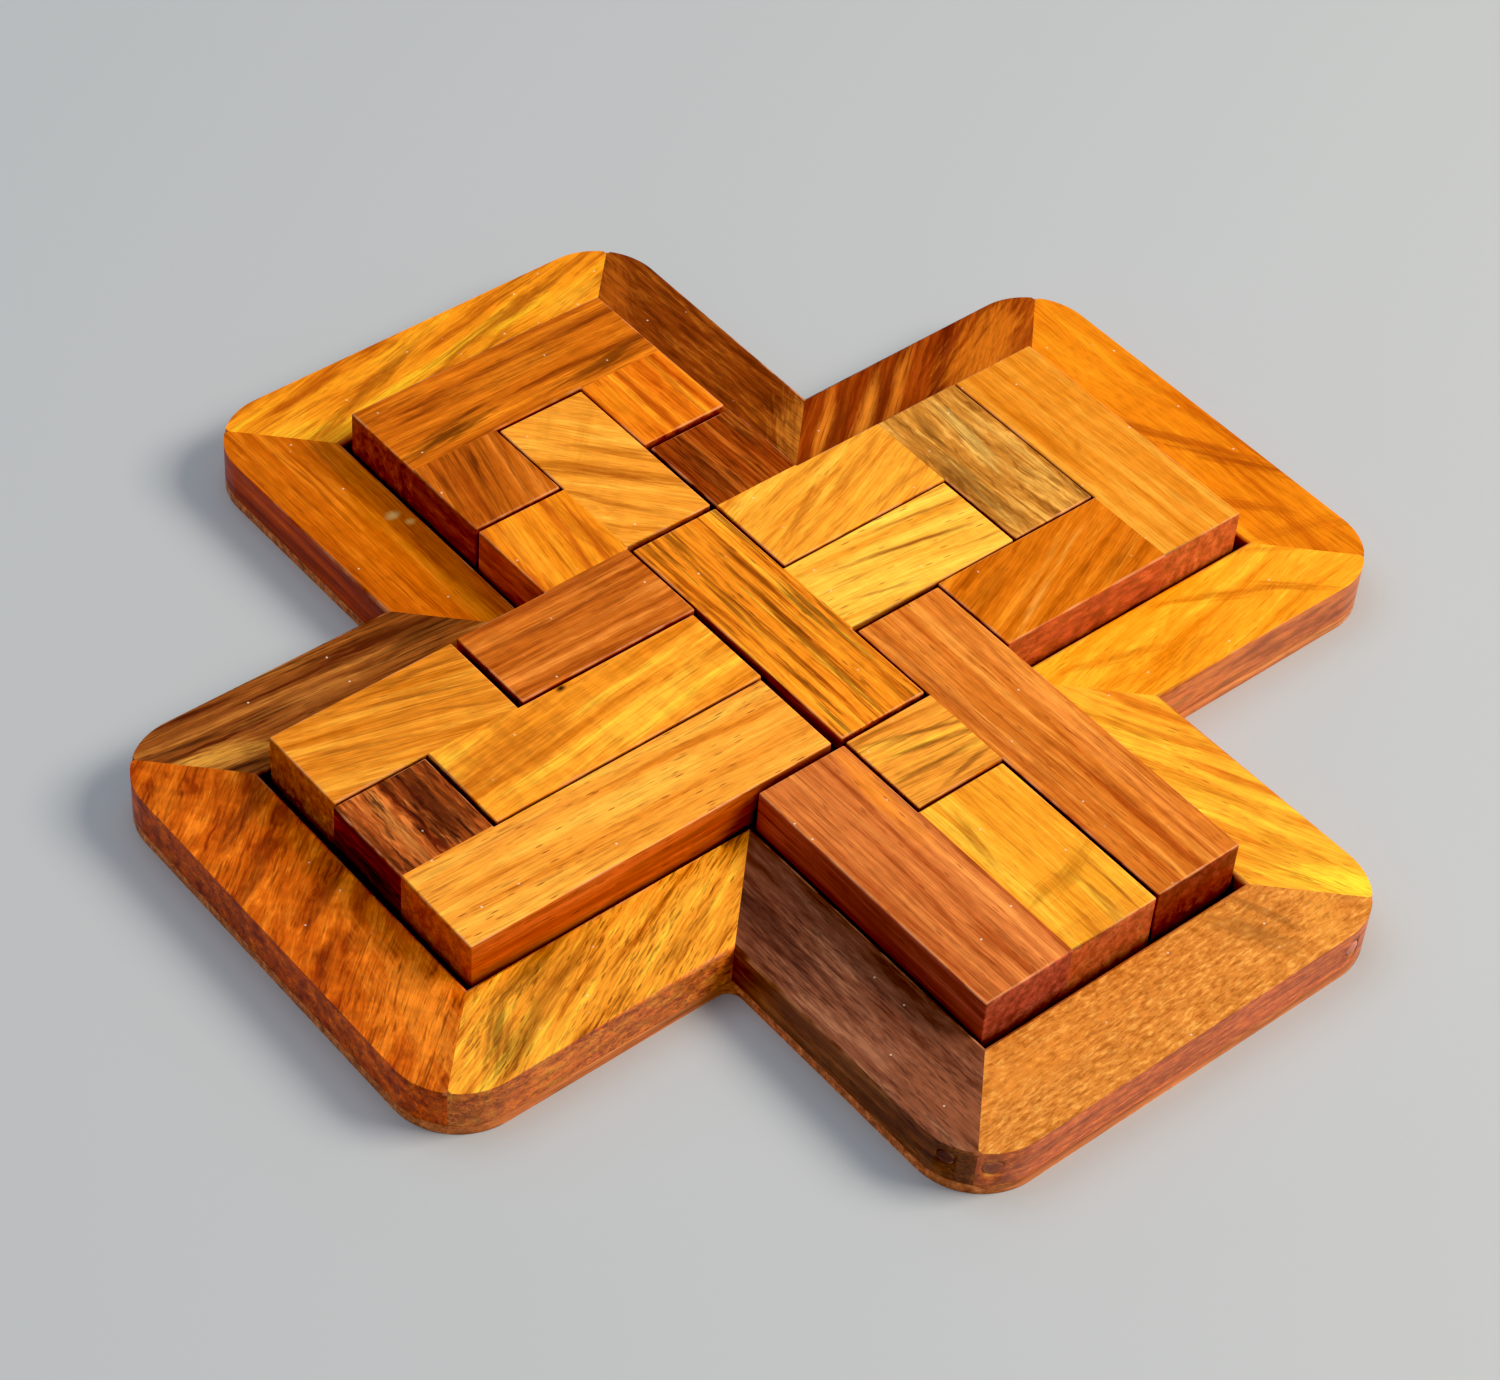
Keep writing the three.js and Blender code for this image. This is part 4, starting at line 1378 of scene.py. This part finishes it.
@dataclass
class LoosePiece:
    """One loose piece, glued up from bars, sanded flush and eased all round.

    Attributes:
        letter: The letter that its outline looks like.
        bars: Its bars' nodes.
        square: Side of one of the squares it is laid out on.
        clearance: How far its walls stand inside its squares.
        edge_ease: Rounding of its edges.
        ease_steps: How many faces it has.
        saw_spare: How far a cut beside a free wall stays clear of it.
        same_plane: Two faces this near each other are glued together.
    """

    letter: str
    bars: list[str]
    square: float = 20.0 * MM
    clearance: float = 0.15 * MM
    edge_ease: float = 0.35 * MM
    ease_steps: int = 4
    saw_spare: float = 1.0 * MM
    same_plane: float = 0.05 * MM

    @classmethod
    def all_from_frame(cls) -> list["LoosePiece"]:
        """One loose piece for each body that lifts out of the tray."""
        groups = frame["record"]["behaviour"]["bodies"]
        return [cls(body[0], list(bars)) for body, bars in groups.items() if body != "tray"]

    def build(self) -> list[bpy.types.Object]:
        """Builds the bars of the piece.

        Returns:
            The bars.
        """
        whole = self._whole()
        pieces = []
        for bar in self.bars:
            bm = whole.copy()
            self._saw(bm, bar)
            low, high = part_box(bar)
            grain, wood = BAR_WOOD[bar]
            number = list(BAR_WOOD).index(bar)
            material = wood.material(bar, (low + high) / 2, grain, number)
            piece = finish_mesh("hardwood_" + bar, bm, material)
            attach(piece, self.letter + "_piece")
            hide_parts(bar)
            LOG.info("%s: %d faces", piece.name, len(piece.data.polygons))
            pieces.append(piece)
        whole.free()
        return pieces

    def _whole(self) -> bmesh.types.BMesh:
        """Makes the whole piece, before its bars are told apart.

        Returns:
            The mesh.
        """
        boxes = [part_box(bar) for bar in self.bars]
        low = min(b[0].z for b in boxes)
        high = max(b[1].z for b in boxes)
        # The squares' own grid: a box's edge stands at most the clearance inside it.
        left = min(b[0].x for b in boxes) - self.clearance
        front = min(b[0].y for b in boxes) - self.clearance
        bm = bmesh.new()
        for box_low, box_high in boxes:
            edges = ((box_low.x - left, box_high.x - left), (box_low.y - front, box_high.y - front))
            columns, rows = (range(*(round(edge / self.square) for edge in pair)) for pair in edges)
            for column, row in product(columns, rows):
                x = left + column * self.square
                y = front + row * self.square
                far_x, far_y = x + self.square, y + self.square
                corners = ((x, y), (far_x, y), (far_x, far_y), (x, far_y))
                bm.faces.new([bm.verts.new((cx, cy, low)) for cx, cy in corners])
        bmesh.ops.remove_doubles(bm, verts=bm.verts, dist=0.01 * MM)
        bmesh.ops.dissolve_limit(bm, angle_limit=math.radians(1), verts=bm.verts, edges=bm.edges)
        made = bmesh.ops.extrude_face_region(bm, geom=bm.faces[:])
        raised = [v for v in made["geom"] if isinstance(v, bmesh.types.BMVert)]
        bmesh.ops.translate(bm, verts=raised, vec=(0, 0, high - low))
        bmesh.ops.recalc_face_normals(bm, faces=bm.faces)
        bm.normal_update()
        # Every wall moves in by the clearance, and each corner goes with its two walls.
        for vert in bm.verts:
            walls = [f.normal for f in vert.link_faces if abs(f.normal.z) < 0.5]
            vert.co -= self.clearance * sum(walls, Vector())
        ease(bm, [e for e in bm.edges if e.is_convex], self.edge_ease, self.ease_steps)
        return bm

    def _saw(self, bm: bmesh.types.BMesh, bar: str) -> None:
        """Cuts the whole piece down to one bar, with flat glue faces.

        Args:
            bm: The whole piece.
            bar: The bar's node.
        """
        low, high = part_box(bar)
        others = [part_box(other) for other in self.bars if other != bar]
        for axis in (0, 1):
            for edge, outward in ((low[axis], -1), (high[axis], 1)):
                facing = [b[0][axis] if outward > 0 else b[1][axis] for b in others]
                glued = any(abs(f - edge) < self.same_plane for f in facing)
                place = Vector((0.0, 0.0, 0.0))
                place[axis] = edge if glued else edge + outward * self.saw_spare
                normal = Vector((0.0, 0.0, 0.0))
                normal[axis] = outward
                cut = bmesh.ops.bisect_plane(
                    bm,
                    geom=bm.verts[:] + bm.edges[:] + bm.faces[:],
                    plane_co=place,
                    plane_no=normal,
                    clear_outer=True,
                )
                edges = [e for e in cut["geom_cut"] if isinstance(e, bmesh.types.BMEdge)]
                open_edges = [e for e in edges if e.is_boundary]
                if open_edges:
                    bmesh.ops.holes_fill(bm, edges=open_edges, sides=0)


# ---------------------------------------------------------------------------------------------- the table


@dataclass(frozen=True)
class TablePaint:
    """Smooth matt grey-white paint: the eye gets an even tone with the tray's soft shadow on it.

    Attributes:
        colour: The paint's colour.
        roughness: The paint's roughness.
    """

    colour: str = "#b6bcc2"
    roughness: float = 0.6

    def material(self) -> bpy.types.Material:
        """Makes the paint.

        Returns:
            The material.
        """
        made = bpy.data.materials.new("painted_table")
        made.use_nodes = True
        tree = made.node_tree
        tree.nodes.clear()
        finish = {"Base Color": linear(self.colour), "Roughness": self.roughness}
        shader = add_node(tree, "BsdfPrincipled", None, finish)
        add_node(tree, "OutputMaterial", None, {"Surface": shader["BSDF"]})
        return made


@dataclass(frozen=True)
class SoftLight:
    """One square soft light that faces the tray.

    Attributes:
        name: Its name.
        place: Where it hangs.
        size: Its side.
        watts: Its power.
        colour: The colour of its light.
    """

    name: str
    place: tuple[float, float, float]
    size: float
    watts: float
    colour: str

    def hang(self) -> None:
        """Hangs the light in its place."""
        data = bpy.data.lights.new(self.name, "AREA")
        data.shape = "SQUARE"
        data.size = self.size
        data.energy = self.watts
        data.color = linear(self.colour)[:3]
        light = bpy.data.objects.new(self.name, data)
        place = Vector(self.place)
        aim = (-place).to_track_quat("-Z", "Y").to_matrix().to_4x4()
        light.matrix_world = Matrix.Translation(place) @ aim
        bpy.context.scene.collection.objects.link(light)


@dataclass(frozen=True)
class Studio:
    """The pale table, the soft lights and the camera.

    Attributes:
        aim: The point the camera looks at.
        azimuth_deg: The way it looks, from +Y towards +X.
        elevation_deg: How far it looks down.
        roll_deg: How far it is turned to the left about its own axis.
        distance: How far it stands from the point.
        lens_mm: Its focal length.
        black_level: The light that prints as black, for deep shadows and rich colour.
        table_half: Half the table's side.
        paint: The table's paint.
        sky_colour: Colour of the even light from all round.
        sky_strength: Its strength.
        lights: A key light on the right, and a wide fill above.
    """

    aim: tuple[float, float, float] = (-9.4 * MM, -4.9 * MM, 11.0 * MM)
    azimuth_deg: float = 43.21
    elevation_deg: float = 45.56
    roll_deg: float = 5.03
    distance: float = 711.7 * MM
    lens_mm: float = 93.6
    black_level: float = 0.011
    table_half: float = 3.0
    paint: TablePaint = TablePaint()
    sky_colour: str = "#eef2f6"
    sky_strength: float = 0.35
    lights: tuple[SoftLight, ...] = (
        SoftLight("key", (0.84, -0.68, 1.02), 0.68, 22.0, "#fff2de"),
        SoftLight("fill", (-0.15, 0.25, 0.95), 0.8, 3.0, "#f4f8ff"),
    )

    def build(self) -> None:
        """Sets up the whole studio."""
        self._camera()
        self._table()
        self._sky()
        for light in self.lights:
            light.hang()
        scene = bpy.context.scene
        scene.view_settings.view_transform = "Standard"
        scene.view_settings.look = "None"
        scene.view_settings.use_curve_mapping = True
        curves = scene.view_settings.curve_mapping
        curves.black_level = (self.black_level,) * 3
        curves.update()

    def _camera(self) -> None:
        """Places the camera."""
        azimuth = math.radians(self.azimuth_deg)
        elevation = math.radians(self.elevation_deg)
        look = Vector(
            (
                math.cos(elevation) * math.sin(azimuth),
                math.cos(elevation) * math.cos(azimuth),
                -math.sin(elevation),
            )
        )
        data = bpy.data.cameras.new("camera")
        data.lens = self.lens_mm
        data.sensor_width = 36.0
        camera = bpy.data.objects.new("camera", data)
        roll = Matrix.Rotation(math.radians(self.roll_deg), 4, "Z")
        turn = look.to_track_quat("-Z", "Y").to_matrix().to_4x4() @ roll
        camera.matrix_world = Matrix.Translation(Vector(self.aim) - self.distance * look) @ turn
        bpy.context.scene.collection.objects.link(camera)
        bpy.context.scene.camera = camera

    def _table(self) -> None:
        """Lays the pale table top."""
        bm = bmesh.new()
        half = self.table_half
        corners = ((-half, -half), (half, -half), (half, half), (-half, half))
        bm.faces.new([bm.verts.new((x, y, 0.0)) for x, y in corners])
        mesh = bpy.data.meshes.new("table_top")
        bm.to_mesh(mesh)
        bm.free()
        mesh.materials.append(self.paint.material())
        table = bpy.data.objects.new("table_top", mesh)
        bpy.context.scene.collection.objects.link(table)

    def _sky(self) -> None:
        """Fills the room with even light."""
        world = bpy.data.worlds.new("studio")
        world.use_nodes = True
        background = world.node_tree.nodes["Background"]
        background.inputs["Color"].default_value = linear(self.sky_colour)
        background.inputs["Strength"].default_value = self.sky_strength
        bpy.context.scene.world = world


def main() -> None:
    """Builds the studio, the tray and the nine loose pieces."""
    logging.basicConfig(level=logging.INFO, format="%(message)s")
    Studio().build()
    Tray().build()
    for piece in LoosePiece.all_from_frame():
        piece.build()


if __name__ == "__main__":
    main()
